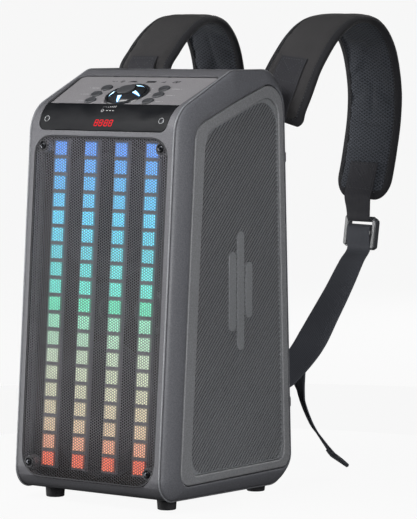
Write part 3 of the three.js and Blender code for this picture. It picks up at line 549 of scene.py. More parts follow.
def piece(name, points, faces, look, body="cabinet", slot=None, smooth=SHARP_FROM, uv=None, kinds=None):
    """A mesh from points in the row frame; uv is one pair for each point."""
    mesh = bpy.data.meshes.new(name)
    mesh.from_pydata([tuple(p) for p in points], [], faces)
    if uv is not None:
        layer = mesh.uv_layers.new(name="cloth")
        corner = np.empty(len(mesh.loops), int)
        mesh.loops.foreach_get("vertex_index", corner)
        layer.data.foreach_set("uv", np.asarray(uv, float)[corner].ravel())
    if kinds is not None:
        mesh.polygons.foreach_set("material_index", kinds)
    mesh.update()
    return finish_piece(added(name, mesh), look, body, smooth)


def at(face, u, v, lift=0):
    """The frame of a spot on a face, in millimetres."""
    return face @ Matrix.Translation((u * MM, v * MM, lift * MM))


def placed(matrix, points):
    """Points in millimetres on a face, as points in the row frame."""
    return [matrix @ (Vector(p) * MM) for p in points]


def bridge(first, second, count):
    """Quads between two rings of points that start at these indexes."""
    pairs = [(k, (k + 1) % count) for k in range(count)]
    return [(first + k, first + n, second + n, second + k) for k, n in pairs]


def loft(name, rings, look, ends="capped", **where):
    """A skin over rings of equal point counts; its ends are capped, open or looped round to each other."""
    count = len(rings[0])
    points = [p for ring in rings for p in ring]
    faces = []
    for r in range(len(rings) if ends == "looped" else len(rings) - 1):
        faces += bridge(r * count, (r + 1) % len(rings) * count, count)
    if ends == "capped":
        faces.append(tuple(reversed(range(count))))
        faces.append(tuple(range(len(points) - count, len(points))))
    obj = piece(name, points, faces, look, **where)
    face_out(obj)
    return obj


def face_out(obj):
    """Turns a closed mesh's faces outwards."""
    co = positions(obj.data)
    volume = 0.0
    for polygon in obj.data.polygons:
        a, *rest = [co[i] for i in polygon.vertices]
        for b, c in zip(rest, rest[1:]):
            volume += np.dot(a, np.cross(b, c))
    if volume < 0:
        obj.data.flip_normals()


def hoop(radius, height, segments):
    """The points of a level circle."""
    turns = [2 * math.pi * k / segments for k in range(segments)]
    return [(radius * math.cos(t), radius * math.sin(t), height) for t in turns]


def lathe(name, outline, matrix, look, segments=64, **where):
    """An outline of (radius, height) pairs turned about local Z; it starts and ends on the axis."""
    points, starts = [], []
    for radius, height in outline:
        starts.append(len(points))
        points += hoop(radius, height, segments) if radius else [(0, 0, height)]
    faces = []
    for (r0, _), (r1, _), a, b in zip(outline, outline[1:], starts, starts[1:]):
        if r0 == 0:
            faces += [(a, b + k, b + (k + 1) % segments) for k in range(segments)]
        elif r1 == 0:
            faces += [(a + (k + 1) % segments, a + k, b) for k in range(segments)]
        else:
            faces += bridge(a, b, segments)
    obj = piece(name, placed(matrix, points), faces, look, **where)
    face_out(obj)
    return obj


def turned_ring(name, outline, matrix, look, segments=96, **where):
    """A closed outline that stays off the axis, turned about local Z."""
    rings = [placed(matrix, hoop(radius, height, segments)) for radius, height in outline]
    return loft(name, rings, look, "looped", **where)


def plate(name, outlines, low, high, matrix, look, bevel=0.3):
    """A flat plate between two heights: the first outline is its edge and the others are holes."""
    curve = bpy.data.curves.new(name, "CURVE")
    curve.dimensions = "2D"
    curve.fill_mode = "BOTH"
    for i, outline in enumerate(outlines):
        area = sum(a[0] * b[1] - b[0] * a[1] for a, b in zip(outline, outline[1:] + outline[:1]))
        ordered = outline if (area > 0) == (i == 0) else outline[::-1]
        spline = curve.splines.new("POLY")
        spline.points.add(len(ordered) - 1)
        for point, (u, v) in zip(spline.points, ordered):
            point.co = (u * MM, v * MM, 0, 1)
        spline.use_cyclic_u = True
    curve.extrude = ((high - low) / 2 - bevel) * MM
    curve.bevel_depth = bevel * MM
    curve.bevel_resolution = 3
    curve.offset = -bevel * MM
    holder = added(name + "_curve", curve)
    evaluated = holder.evaluated_get(bpy.context.evaluated_depsgraph_get())
    mesh = bpy.data.meshes.new_from_object(evaluated)
    bpy.data.objects.remove(holder)
    mesh.name = name
    mesh.materials.clear()
    mesh.transform(matrix @ Matrix.Translation((0, 0, (low + high) / 2 * MM)))
    if matrix.to_3x3().determinant() < 0:
        mesh.flip_normals()
    return finish_piece(added(name, mesh), look, "cabinet", SHARP_FROM)


def joined(name, pieces):
    """Several pieces as one object, which keeps each one's material."""
    first = pieces[0]
    with bpy.context.temp_override(active_object=first, object=first, selected_editable_objects=pieces):
        bpy.ops.object.join()
    first.name = name
    first.data.name = name
    return first


def soft_edges(obj, width):
    soft = obj.modifiers.new("bevel", "BEVEL")
    soft.width = width * MM
    soft.segments = 2
    soft.limit_method = "ANGLE"
    soft.angle_limit = math.radians(BEVEL_FROM)


def dress(node, look, bevel=0.0):
    """A carried-over CAD node: soft edges, smooth shading on its round faces and a real material."""
    obj = NODES[node]
    obj.data.materials.clear()
    obj.data.materials.append(look)
    custom = obj.data.attributes.get("custom_normal")
    if custom:
        obj.data.attributes.remove(custom)
    shade_smooth(obj.data)
    obj.modifiers.new("weld", "WELD").merge_threshold = 0.01 * MM
    if bevel:
        soft_edges(obj, bevel)
    obj.modifiers.new("split", "EDGE_SPLIT").split_angle = math.radians(SPLIT_FROM)
    obj.modifiers.new("even", "WEIGHTED_NORMAL").keep_sharp = True
    return obj


# ---- cabinet --------------------------------------------------------------------------------------
def dress_cad_nodes():
    """The CAD nodes that stay as they are: the band, the rear and everything inside."""
    plain = {
        "baffle_board": WOOD, "tweeter": DRIVER, "bass_port": SHELL, "control_board": CIRCUIT,
        "display_module": CIRCUIT, "amp_board": CIRCUIT, "battery_pack": WRAP, "knob_light": GLOW,
    }
    for place in ("lower", "upper"):
        plain.update({"woofer_frame_" + place: DRIVER, "woofer_cone_" + place: PAPER,
                      "woofer_surround_" + place: RUBBER})
    for node, look in plain.items():
        dress(node, look)
    dress("cabinet_band", BAND, 0.5)
    dress("carry_handle", SHELL, 0.5)
    dress("rear_cover", SHELL, 0.4)
    dress("io_panel", SOCKET, 0.2)


def light_up_bars():
    """The front faces of the blocks are lit; the bar between them is plain diffuser."""
    outward = FRONT.to_3x3() @ Vector((0, 0, 1))
    lit_from = (LED_FACE - 1.3) * MM
    for i in range(4):
        mesh = dress(f"light_bar_{i + 1}", DIFFUSER).data
        mesh.materials.append(LIT)
        heights = [(polygon.center - FRONT.translation).dot(outward) for polygon in mesh.polygons]
        mesh.polygons.foreach_set("material_index", [int(height > lit_from) for height in heights])


# the cheek's section as (share of the way from the bead to the seam, distance from the middle)
CHEEK_SECTION = [
    (0, 101.9), (0.02, 102.7), (0.06, 103.6), (0.14, 104.8), (0.26, 106.2), (0.42, 107.8), (0.58, 109.2),
    (0.74, 110.3), (0.88, 110.95), (0.965, SIDE_HALF), (0.99, 110.7), (1, 110.1),
]
SEAM_FLOOR = 104.4


def cheek(side):
    """The rounded moulding between the bead and the side frame, with its edge turned into the seam."""
    steps = 16
    hidden, outer = (rounded(inset(PROFILE, distance), steps) for distance in (2.6, 1.0))
    inner = rounded(inset(SEAM, -0.5), steps)
    rows = [[(*p, CHEEK_SECTION[0][1]) for p in hidden]]
    rows += [[(*p.lerp(q, share), x) for p, q in zip(outer, inner)] for share, x in CHEEK_SECTION]
    rows.append([(*q, SEAM_FLOOR) for q in inner])
    rings = [placed(SIDE[side], row) for row in rows]
    obj = loft("cheek_" + side, rings, CHEEK, "open", slot="cheek_plastic", smooth=50)
    orient(obj, Vector((SIGN[side], 0, 0)))
    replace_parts(obj, "side_cheek_" + side)


def orient(obj, direction):
    """Turns an open skin so that most of it faces one way."""
    total = Vector()
    for polygon in obj.data.polygons:
        total += polygon.normal * polygon.area
    if total.dot(direction) < 0:
        obj.data.flip_normals()


def bead(side):
    """The thin raised line where the band meets the cheek."""
    radius, segments = 0.95, 12
    rings = []
    for k in range(segments):
        angle = 2 * math.pi * k / segments
        grown = rounded(inset(PROFILE, 0.15 - radius * math.cos(angle)), 20)
        x = SIGN[side] * (BEAD_OUT + radius * math.sin(angle))
        rings.append([Vector((x * MM, p.x * MM + SHIFT, p.y * MM)) for p in grown])
    loft("bead_" + side, rings, BEAD, "looped", slot="shell_plastic")


RIB_PITCH = 3.8
RIB_BASE = 105.4
# one rib as (share of the pitch, height over the base), with the groove first
RIB_SECTION = [(0.0, 0.9), (0.34, 0.9), (0.40, 2.4), (0.48, 3.3), (0.58, 3.7), (0.72, 3.85), (0.86, 3.5),
               (0.94, 2.4)]
GROOVE_BELOW = 1
ALONG = Vector((1, 1)).normalized()
ACROSS = Vector((1, -1)).normalized()
EMBLEM_MIDDLE = (141, 235)
EMBLEM_HEIGHTS = (88, 132, 62)
EMBLEM_PITCH = 15.5


def chord(path, offset):
    """Where the line along the ribs at this offset enters and leaves a convex path."""
    hits = []
    for a, b in zip(path, path[1:] + path[:1]):
        da, db = a.dot(ACROSS) - offset, b.dot(ACROSS) - offset
        if (da > 0) != (db > 0):
            hits.append((a + (b - a) * (da / (da - db))).dot(ALONG))
    return (min(hits), max(hits)) if len(hits) == 2 else None


def ribs(side, area):
    """Fine 45 degree ribs that fill an area, with groove floors between them coloured dark as painted
    shade.
    """
    reach = [p.dot(ACROSS) for p in area]
    count = len(RIB_SECTION)
    points, faces, kinds, heights = [], [], [], []
    for k in range(int((max(reach) - min(reach)) / RIB_PITCH) * count + 1):
        share, height = RIB_SECTION[k % count]
        offset = min(reach) + 0.5 + (k // count + share) * RIB_PITCH
        ends = chord(area, offset)
        if not ends:
            continue
        points += [(*(ALONG * end + ACROSS * offset), RIB_BASE + height) for end in ends]
        heights.append(height)
        if len(heights) > 1:
            row = len(points) - 4
            faces.append((row, row + 1, row + 3, row + 2))
            # faces lower than GROOVE_BELOW are groove floors and take the painted shade colour
            kinds.append(int(min(heights[-2:]) < GROOVE_BELOW))
    obj = piece("ribs", placed(SIDE[side], points), faces, [RIBS, GROOVE_SHADE], slot="rib_plastic", smooth=60,
                kinds=kinds)
    orient(obj, Vector((SIGN[side], 0, 0)))
    return obj


def rib_panel(side):
    """The ribs over a floor coloured dark as painted shade, inside a border with a plain gusset at each
    corner.
    """
    steps = 14
    matrix = SIDE[side]
    edge, tight, border = (rounded(inset(RIBBED, distance), steps) for distance in (0.3, 1.0, 1.5))
    area = rounded([(u, v, r + 9) for u, v, r in inset(RIBBED, 1.3)], steps)
    pieces = [
        ribs(side, area),
        plate("base", [edge], RIB_BASE - 0.2, RIB_BASE + 0.7, matrix, GROOVE_SHADE, 0.2),
        plate("border", [edge, border], RIB_BASE, RIB_BASE + 3.4, matrix, EMBLEM, 0.5),
    ]
    for start in range(0, len(area), steps + 1):
        corner = slice(start, start + steps + 1)
        gusset = [area[start], *tight[corner], *area[corner][:0:-1]]
        pieces.append(plate("gusset", [gusset], RIB_BASE + 1, RIB_BASE + 4.1, matrix, EMBLEM))
    whole = joined("rib_panel_" + side, pieces)
    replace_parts(whole, "side_grille_" + side)


def emblem(side):
    """Three smooth upright bars over the ribs."""
    y, z = EMBLEM_MIDDLE
    low, high = RIB_BASE + 1.4, RIB_BASE + 4.3
    bars = []
    for i, height in enumerate(EMBLEM_HEIGHTS):
        corners = slab(6.2, z - height / 2, z + height / 2, 6.1, y + (i - 1) * EMBLEM_PITCH)
        bars.append(plate("bar", [rounded(corners, 12)], low, high, SIDE[side], EMBLEM, 0.5))
    joined("emblem_" + side, bars)


def side_rim(side):
    """The smooth frame between the cheek's seam and the ribs."""
    edges = [rounded(inset(SEAM, 0.5), 20), rounded(RIBBED, 16)]
    obj = plate("side_rim_" + side, edges, RIB_BASE, SIDE_HALF, SIDE[side], RIM, 1.7)
    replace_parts(obj, "side_frame_" + side)


# ---- front sheet ----------------------------------------------------------------------------------
HOLE_PITCH = 3.0
HOLE_RADIUS = 1.27
CUP_RADIUS = 5.2


def inside_window(u, v, margin):
    """Whether points lie in the front opening, at least MARGIN from its edge."""
    half, bottom, top, radius = WINDOW[2][0], WINDOW[0][1], WINDOW[1][1], 23.5
    du = np.abs(u) - (half - radius)
    dv = np.abs(v - (bottom + top) / 2) - ((top - bottom) / 2 - radius)
    outside = np.hypot(np.maximum(du, 0), np.maximum(dv, 0)) + np.minimum(np.maximum(du, dv), 0)
    return outside <= radius - margin


def hole_places():
    """The middles of staggered holes over the opening, clear of the screws."""
    column_pitch = HOLE_PITCH * math.sqrt(3) / 2
    last = int(WINDOW[2][0] / column_pitch)
    c, r = np.meshgrid(np.arange(-last, last + 1), np.arange(int(380 / HOLE_PITCH) + 1))
    u = c.ravel() * column_pitch
    v = WINDOW[0][1] + 1.5 + (r + (c % 2) / 2).ravel() * HOLE_PITCH
    keep = inside_window(u, v, 1.4)
    for x, height, _ in GRILLE_SCREWS:
        keep &= np.hypot(np.abs(u) - x, v - height) > CUP_RADIUS
    return u[keep], v[keep]


def perforated_mesh():
    """Six quads round each hole, from the cell's corners to the lip that is pressed in."""
    u, v = hole_places()
    angles = np.radians(60 * np.arange(6))

    def hexagons(radius):
        across = u[:, None] + radius * np.cos(angles)
        up = v[:, None] + radius * np.sin(angles)
        return np.stack([across.ravel(), up.ravel()], 1)

    def sunk(flat, depth):
        return np.column_stack([flat, np.full(len(flat), -depth)])

    cells = np.round(hexagons(HOLE_PITCH / math.sqrt(3)), 3)
    corners, index = np.unique(cells, axis=0, return_inverse=True)
    index = index.reshape(-1, 6)
    lips = hexagons(HOLE_RADIUS)
    flat = np.concatenate([sunk(corners, 0.75), sunk(lips, 1.15)]) * MM
    points = flat @ np.array(FRONT.to_3x3()).T + np.array(FRONT.translation)
    holes = len(corners) + np.arange(len(lips)).reshape(-1, 6)
    faces = np.stack([index, np.roll(index, -1, 1), np.roll(holes, -1, 1), holes], 2).reshape(-1, 4)
    return piece("perforated_sheet", points, faces.tolist(), PERFORATED, slot="grille_steel", smooth=20)


def perforated_sheet():
    """The steel sheet with its plain rim and a pressed cup for each screw."""
    edges = [rounded(inset(WINDOW, distance), 14) for distance in (0.4, 2.0)]
    parts = [perforated_mesh(), plate("sheet_rim", edges, -2.0, -0.45, FRONT, GRILLE_RIM)]
    cup = [(0, -2.4), (3.9, -2.4), (4.3, -1.2), (5.0, -0.55), (6.2, -0.6), (6.4, -0.9), (6.3, -2.6),
           (0, -2.6)]
    for x, height, _ in GRILLE_SCREWS:
        for sign in (-1, 1):
            parts.append(lathe("cup", cup, at(FRONT, sign * x, height), GRILLE_RIM, 40))
    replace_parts(joined("front_sheet", parts), "front_grille")


def socket_screw(name, matrix, radius, low, height):
    """A domed screw head with a round socket."""
    shape = [(0, 0), (1, 0), (1, 0.55), (0.93, 0.85), (0.75, 1), (0.5, 1), (0.46, 0.9), (0.44, 0.35),
             (0, 0.25)]
    outline = [(radius * r, low + height * h) for r, h in shape]
    return lathe(name, outline, matrix, STEEL, 36, slot="screw_steel")


def grille_screws():
    for x, height, row in GRILLE_SCREWS:
        for side in ("left", "right"):
            name = f"{row}_{side}"
            head = socket_screw("head_" + name, at(FRONT, SIGN[side] * x, height), 3.3, -2.35, 2.1)
            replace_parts(head, "grille_screw_" + name)


# ---- brow strip and its marks -----------------------------------------------------------------------
STRIP_FOOT = Vector((front_at(413.5), 413.5))
PANEL_FOOT = PANEL[0][1]
STRIP_HEAD = Vector((
    BROW[0] + PANEL_FOOT * math.cos(math.radians(TOP_SLOPE)),
    BROW[1] + PANEL_FOOT * math.sin(math.radians(TOP_SLOPE)) + RIM_RISE,
))
STRIP_LENGTH = (STRIP_HEAD - STRIP_FOOT).length
STRIP_SCREW = (80, 12)


def strip_curve():
    """The brow's own curve as columns: the distance up the strip, the point and the outward normal."""
    up = (STRIP_HEAD - STRIP_FOOT).normalized()
    path = rounded(inset(PROFILE, 0.3), 60)
    picked = []
    for a, b in zip(path, path[1:]):
        if (b - a).length < 1e-6:
            continue
        for k in range(4):
            p = a + (b - a) * k / 4
            share = (p - STRIP_FOOT).dot(up)
            if -3 < share < STRIP_LENGTH + 3 and p.y > 380 and p.x < 80:
                along = (b - a).normalized()
                picked.append((share, *p, -along.y, along.x))
    picked.sort()
    return np.array(picked).T


BROW_LINE = strip_curve()


def on_strip(x, share, lift=0.0):
    """A point of the display strip, X to the side and SHARE up it, in millimetres."""
    y, z, out, up = (np.interp(share, BROW_LINE[0], column) for column in BROW_LINE[1:])
    return Vector((x * MM, (y + out * lift) * MM + SHIFT, (z + up * lift) * MM))


def display_strip():
    """The glossy strip: a grid over the brow, narrowed round its lower corners, with a back and edges."""
    rows, columns = 44, 28
    points, faces = [], []
    for lift in (0.0, -1.6):
        for i in range(rows + 1):
            share = 0.25 + (STRIP_LENGTH - 0.7) * i / rows
            half = 88.5 + 3.5 * share / STRIP_LENGTH
            if share < 8:
                half -= 8 - math.sqrt(64 - (8 - share) ** 2)
            for k in range(columns + 1):
                points.append(on_strip(half * (2 * k / columns - 1), share, lift))
    wide = columns + 1
    layer = (rows + 1) * wide
    for i in range(rows):
        for k in range(columns):
            a = i * wide + k
            faces.append((a, a + 1, a + 1 + wide, a + wide))
            faces.append((a + layer + wide, a + layer + wide + 1, a + layer + 1, a + layer))
    edge = list(range(wide))
    edge += [i * wide + columns for i in range(1, rows + 1)]
    edge += [rows * wide + k for k in reversed(range(columns))]
    edge += [i * wide for i in reversed(range(1, rows))]
    for a, b in zip(edge, edge[1:] + edge[:1]):
        faces.append((b, a, a + layer, b + layer))
    obj = piece("brow_strip", points, faces, DISPLAY, slot="gloss_plastic", smooth=40)
    face_out(obj)
    soft_edges(obj, 0.35)
    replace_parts(obj, "display_strip")


def raised(name, shapes, surface, look, body="cabinet", rise=0.12, slot=None):
    """Flat marks as thin solids on a surface; each shape is a convex outline."""
    points, faces = [], []
    for shape in shapes:
        start, count = len(points), len(shape)
        points += [surface(u, v, 0.0) for u, v in shape] + [surface(u, v, rise) for u, v in shape]
        faces.append(tuple(start + k for k in reversed(range(count))))
        faces.append(tuple(start + count + k for k in range(count)))
        faces += bridge(start, start + count, count)
    return piece(name, points, faces, look, body=body, slot=slot)


def bar_shape(x0, y0, x1, y1, thick):
    """A straight stroke with pointed ends."""
    a, b = Vector((x0, y0)), Vector((x1, y1))
    along = (b - a).normalized()
    side = Vector((-along.y, along.x)) * thick / 2
    tip = along * thick / 2
    return [a, a + tip - side, b - tip - side, b, b - tip + side, a + tip + side]


def digit_shapes(x, v, width, height, thick):
    """The seven strokes of an eight, leaning to the right."""
    left, right = x, x + width
    levels = (v, v + height / 2, v + height)

    def lean(px, pv):
        return (px + 0.2 * (pv - v), pv)

    ends = [((left, level), (right, level)) for level in levels]
    for low, high in zip(levels, levels[1:]):
        ends += [((px, low), (px, high)) for px in (left, right)]
    return [bar_shape(*lean(*a), *lean(*b), thick) for a, b in ends]


def dot_shape(x, y, radius, count=10):
    return [spoke(x, y, radius, 360 * k / count) for k in range(count)]


def arc_shapes(x, y, radius, start, end, thick, count=10):
    points = [spoke(x, y, radius, start + (end - start) * k / count) for k in range(count + 1)]
    return [bar_shape(*a, *b, thick) for a, b in zip(points, points[1:])]


def strip_marks():
    """The clock's digits, and over them a level scale above a round mark with three dashes."""
    shapes = []
    for x in (-11.6, -5.2, 2.1, 8.5):
        shapes += digit_shapes(x, 5.0, 3.9, 6.6, 0.8)
    shapes += [dot_shape(0.1, 6.8, 0.5), dot_shape(0.7, 9.8, 0.5)]
    raised("clock_digits", shapes, on_strip, DIGIT, slot="light_guide")
    level = STRIP_LENGTH - 5.5
    scale = [(-9 + 2.4 * k, level - 1.4 + 0.38 * k) for k in range(8)]
    marks = [bar_shape(x, level - 1.6, x, top, 0.9) for x, top in scale]
    level -= 6.6
    marks += arc_shapes(-7, level, 1.7, -230, 50, 0.6) + [bar_shape(-7, level + 0.3, -7, level + 2.2, 0.6)]
    marks += [bar_shape(-2 + 4.2 * k, level, 0.6 + 4.2 * k, level, 0.7) for k in range(3)]
    raised("strip_marks", marks, on_strip, MARK, slot="light_diffuser")


def strip_screws():
    """A nickel ring round each of the strip's two screw heads."""
    outline = [(0, -1.5), (3.6, -1.5), (3.6, 0.25), (3.2, 0.45), (2.8, 0.25), (2.75, -0.9), (0, -0.9)]
    x, height = STRIP_SCREW
    for side in ("left", "right"):
        spot = on_strip(SIGN[side] * x, height)
        outward = (on_strip(SIGN[side] * x, height, 1.0) - spot).normalized()
        turn = Vector((0, 0, 1)).rotation_difference(outward)
        place = Matrix.Translation(spot) @ turn.to_matrix().to_4x4()
        ring = lathe("ring", outline, place, NICKEL, 40)
        whole = joined("strip_head_" + side, [ring, socket_screw("head", place, 2.45, -0.95, 1.0)])
        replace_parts(whole, "strip_screw_" + side)


# ---- control panel --------------------------------------------------------------------------------
BUTTONS = [(side, i + 1, SIGN[side] * spot.x, spot.y) for side in ("left", "right")
           for i, spot in enumerate(spoke(0, KNOB_CENTRE, BUTTON_CIRCLE, angle) for angle in (-22, 0, 22))]


def on_panel(u, v, lift=0.0):
    return TOP @ (Vector((u, v, lift)) * MM)


def control_panel():
    """The sloping panel with holes for the keys and the dial, and a dark ring round it as painted shadow in
    the gap.
    """
    holes = [circle(x, s, BUTTON_RADIUS + 0.35) for _, _, x, s in BUTTONS]
    holes.append(circle(0, KNOB_CENTRE, 26.5, 72))
    obj = plate("top_panel", [rounded(PANEL, 12), *holes], -3, 0, TOP, CONTROL, 0.25)
    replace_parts(obj, "control_panel")
    # painted shadow: a thin dark ring over the gap round the panel stands for the shade in it
    edges = [rounded(inset(PANEL, distance), 12) for distance in (-0.3, 1.7)]
    plate("panel_gap_shadow", edges, -0.5, 0.3, TOP, SOCKET, 0.12)


def panel_marks():
    """Plain icons along the panel's upper edge, a dash by each button and a scale round the dial."""
    row = 86
    shapes = [bar_shape(-46, row, -41.5, row, 1.0), dot_shape(-39.5, row, 0.8)]
    shapes += arc_shapes(-31, row, 2.4, 0, 360, 1.3, 14) + [dot_shape(-31, row, 1.1)]
    for solid in (((-23, -1.6), (-8, -1.6), (-13, 1.6), (-18, 1.6)),
                  ((3, -2.1), (16, -2.1), (16, 2.1), (3, 2.1)),
                  ((24, -1.4), (29.5, -1.4), (29.5, 1.6))):
        shapes.append([Vector((u, row + v)) for u, v in solid])
    corners = [(40, row - 1.8), (47.5, row - 1.8), (49.5, row + 2), (42, row + 2)]
    shapes += [bar_shape(*a, *b, 1.0) for a, b in zip(corners, corners[1:] + corners[:1])]
    shapes.append(dot_shape(44.8, row + 0.1, 1.2))
    raised("panel_icons", shapes, on_panel, DARK_MARK, rise=0.06, slot="button_plastic")
    ticks = []
    for side, i, x, height in BUTTONS:
        start, stretch = x + SIGN[side] * 10.5, SIGN[side] * (5 + 2 * i)
        ticks.append(bar_shape(start, height, start + stretch, height, 0.55))
        ticks.append(dot_shape(start + stretch + SIGN[side] * 2.5, height, 0.45))
    for angle in range(225, -46, -27):
        inner, outer = (spoke(0, KNOB_CENTRE, radius, angle) for radius in (28.2, 30))
        ticks.append(bar_shape(*inner, *outer, 0.5))
    ticks = [t for t in ticks if min(p[1] for p in t) > PANEL_FOOT + 0.8]
    raised("panel_ticks", ticks, on_panel, MARK, rise=0.05, slot="light_diffuser")


def buttons():
    """Round keys with a rolled edge and a dished face."""
    r = BUTTON_RADIUS
    outline = [(0, -4.4), (r, -4.4), (r, 0.8), (r - 0.15, 1.25), (r - 0.5, 1.55), (r - 1.0, 1.65),
               (r - 1.6, 1.5), (r * 0.5, 1.15), (r * 0.25, 1.05), (0, 1.0)]
    for side, i, x, height in BUTTONS:
        spot = f"{side}_{i}"
        obj = lathe("key_" + spot, outline, at(TOP, x, height), BUTTON, 56, body="button_" + spot,
                    slot="button_plastic")
        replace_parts(obj, "button_" + spot)


def dial():
    """The volume dial: a fixed ring, a dome with five lit windows, and the power cap in its middle."""
    place = at(TOP, 0, KNOB_CENTRE)
    ring = [(22.6, -3), (22.6, 0.4), (23.0, 1.1), (23.8, 1.7), (24.8, 1.95), (25.6, 1.7), (26.1, 1.0),
            (26.2, -3)]
    obj = turned_ring("dial_ring", ring, place, DIAL, slot="gloss_plastic")
    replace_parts(obj, "knob_ring")
    dome = [(0, 4.6), (10.6, 4.6), (11.0, 5.6), (11.5, 6.3), (12.4, 6.35), (13.6, 5.95), (15.5, 5.1),
            (17.5, 4.1), (19.3, 3.1), (20.8, 2.0), (21.8, 0.9), (22.2, -0.4), (22.2, -3), (20.6, -3),
            (20.6, 0), (0, 1.0)]
    obj = lathe("dial_dome", dome, place, DIAL, 96, body="volume_knob", slot="gloss_plastic")
    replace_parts(obj, "volume_knob")
    heights = ([r for r, _ in dome[5:11]], [h for _, h in dome[5:11]])

    def on_dome(u, v, lift=0.0):
        radius = math.hypot(u, v)
        return place @ (Vector((u, v, float(np.interp(radius, *heights)) + lift)) * MM)

    def window_part(turn, inner, outer, longer=0.0, wider=0.0):
        """One quad of a window between two (radius, half width) pairs."""
        (r0, w0), (r1, w1) = inner, outer
        r0, w0, r1, w1 = r0 - longer, w0 + wider, r1 + longer, w1 + wider
        return [turn @ Vector(p) for p in ((r0, -w0), (r1, -w1), (r1, w1), (r0, w0))]

    edges = [(12.6, 2.5), (15.0, 2.0), (17.4, 1.5), (19.6, 1.0), (21.4, 0.6)]
    shapes, borders = [], []
    for k in range(5):
        turn = Matrix.Rotation(math.radians(72 * k - 14), 2)
        for inner, outer in zip(edges, edges[1:]):
            shapes.append(window_part(turn, inner, outer))
            borders.append(window_part(turn, inner, outer, 0.1, 0.75))
    raised("dial_windows", shapes, on_dome, GLOW, "volume_knob", 0.22, "light_guide")
    raised("dial_window_edges", borders, on_dome, GLOW_EDGE, "volume_knob", 0.12, "light_guide")
    cap = [(0, 6.2), (10.3, 6.2), (10.5, 7.2), (10.2, 7.7), (9.6, 7.9), (6, 7.75), (0, 7.65)]
    obj = lathe("dial_cap", cap, place, BUTTON, 72, body="power_cap", slot="button_plastic")
    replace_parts(obj, "power_cap")


# ---- feet and rear ----------------------------------------------------------------------------------
def feet():
    """Round rubber feet with a hollowed sole."""
    for place in ("front_left", "front_right", "back_left", "back_right"):
        node = "foot_" + place
        centre = box_centre(node)
        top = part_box(node)[1].z / MM
        outline = [(0, 0.5), (6.5, 0.5), (7.0, 0), (9.4, 0), (10.0, 0.25), (10.3, 0.9), (10.95, top - 1.6),
                   (10.6, top - 0.5), (9.6, top), (0, top)]
        matrix = Matrix.Translation((centre.x, centre.y, 0))
        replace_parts(lathe("pad_" + place, outline, matrix, RUBBER, 56, slot="rubber"), node)


def rear_details():
    """Cover screws and the nuts of the sockets."""
    spots = [(x, height) for x in (-42, 42) for height in (52, 240, 424)]
    for i, spot in enumerate(spots):
        socket_screw(f"cover_screw_{i + 1}", at(BACK, *spot), 3.2, -0.45, 1.2)
    nut = [(0.15, -2.0), (0.15, -0.5), (0.6, -0.1), (1.6, -0.1), (2.2, -0.6), (2.2, -2.0)]
    for i, (x, hole) in enumerate(((-30, 3.8), (-8, 3.8), (12, 1.8), (30, 3))):
        outline = [(hole + out, height) for out, height in nut]
        turned_ring(f"socket_nut_{i + 1}", outline, at(BACK, x, 366), NICKEL, 48, slot="screw_steel")


# ---- harness ----------------------------------------------------------------------------------------
# routes of the right side as (depth behind the cabinet, height, distance from the middle)
PAD_ROUTE = [
    (4.5, 422, 85), (5.5, 437, 89), (9, 452, 94), (18, 478, 100), (32, 498, 103), (50, 515, 104),
    (72, 528, 104), (95, 535, 104), (118, 536, 104), (138, 530, 104), (154, 518, 104),
    (167, 500, 104), (176, 474, 104), (180, 447, 104), (178, 418, 104), (173, 388, 103),
    (166, 358, 102), (157, 326, 100),
]
LEFT_RISE = [
    (4.5, 422, 90), (4.8, 437, 96), (5.2, 452, 101), (7, 478, 104), (27, 498, 104), (51, 516, 104),
    (76, 529, 104),
]
PAD_ROUTES = {"right": PAD_ROUTE, "left": LEFT_RISE + PAD_ROUTE[len(LEFT_RISE):]}
WEB_ROUTE = [(143, 253, 97), (118, 223, 96), (92, 193, 94), (58, 154, 90), (25, 128, 84)]
UPPER_LOOP, LOWER_LOOP = (394, 380, 368), (113, 105, 90)
LOOP_OUT = 77
TAIL_ROUTE = [
    (45, 139.5, 86), (53, 110, 85), (66, 85, 84), (83, 62, 84), (103, 43, 85), (121, 27, 86), (136, 16, 86),
]
BUCKLE_SPOT = (161, 286, 98.5)
LOCK_TURN = {"right": -12, "left": 12}
PAD_CORNERS = (10, 26)  # radii at the pad's upper and lower end
PAD_CELL = 4
PAD_EDGE_STEPS = 128
STITCH, STITCH_GAP, STITCH_THICK = 2.6, 1.1, 0.3
PAD_CLOTH = {
    "quality": 5, "mass": 0.2, "tension_stiffness": 12, "compression_stiffness": 12,
    "bending_stiffness": 0.6, "shrink_min": -0.035, "use_pressure": True, "uniform_pressure_force": 4.0,
    "vertex_group_mass": "seam",
}


def between(place, marks, rows):
    """The row of numbers at a place along its marks."""
    return np.array([np.interp(place, marks, column) for column in np.transpose(rows)])


def distances(line):
    """How far along a line each of its points lies."""
    return np.concatenate([[0], np.cumsum(np.linalg.norm(np.diff(line, axis=0), axis=1))])


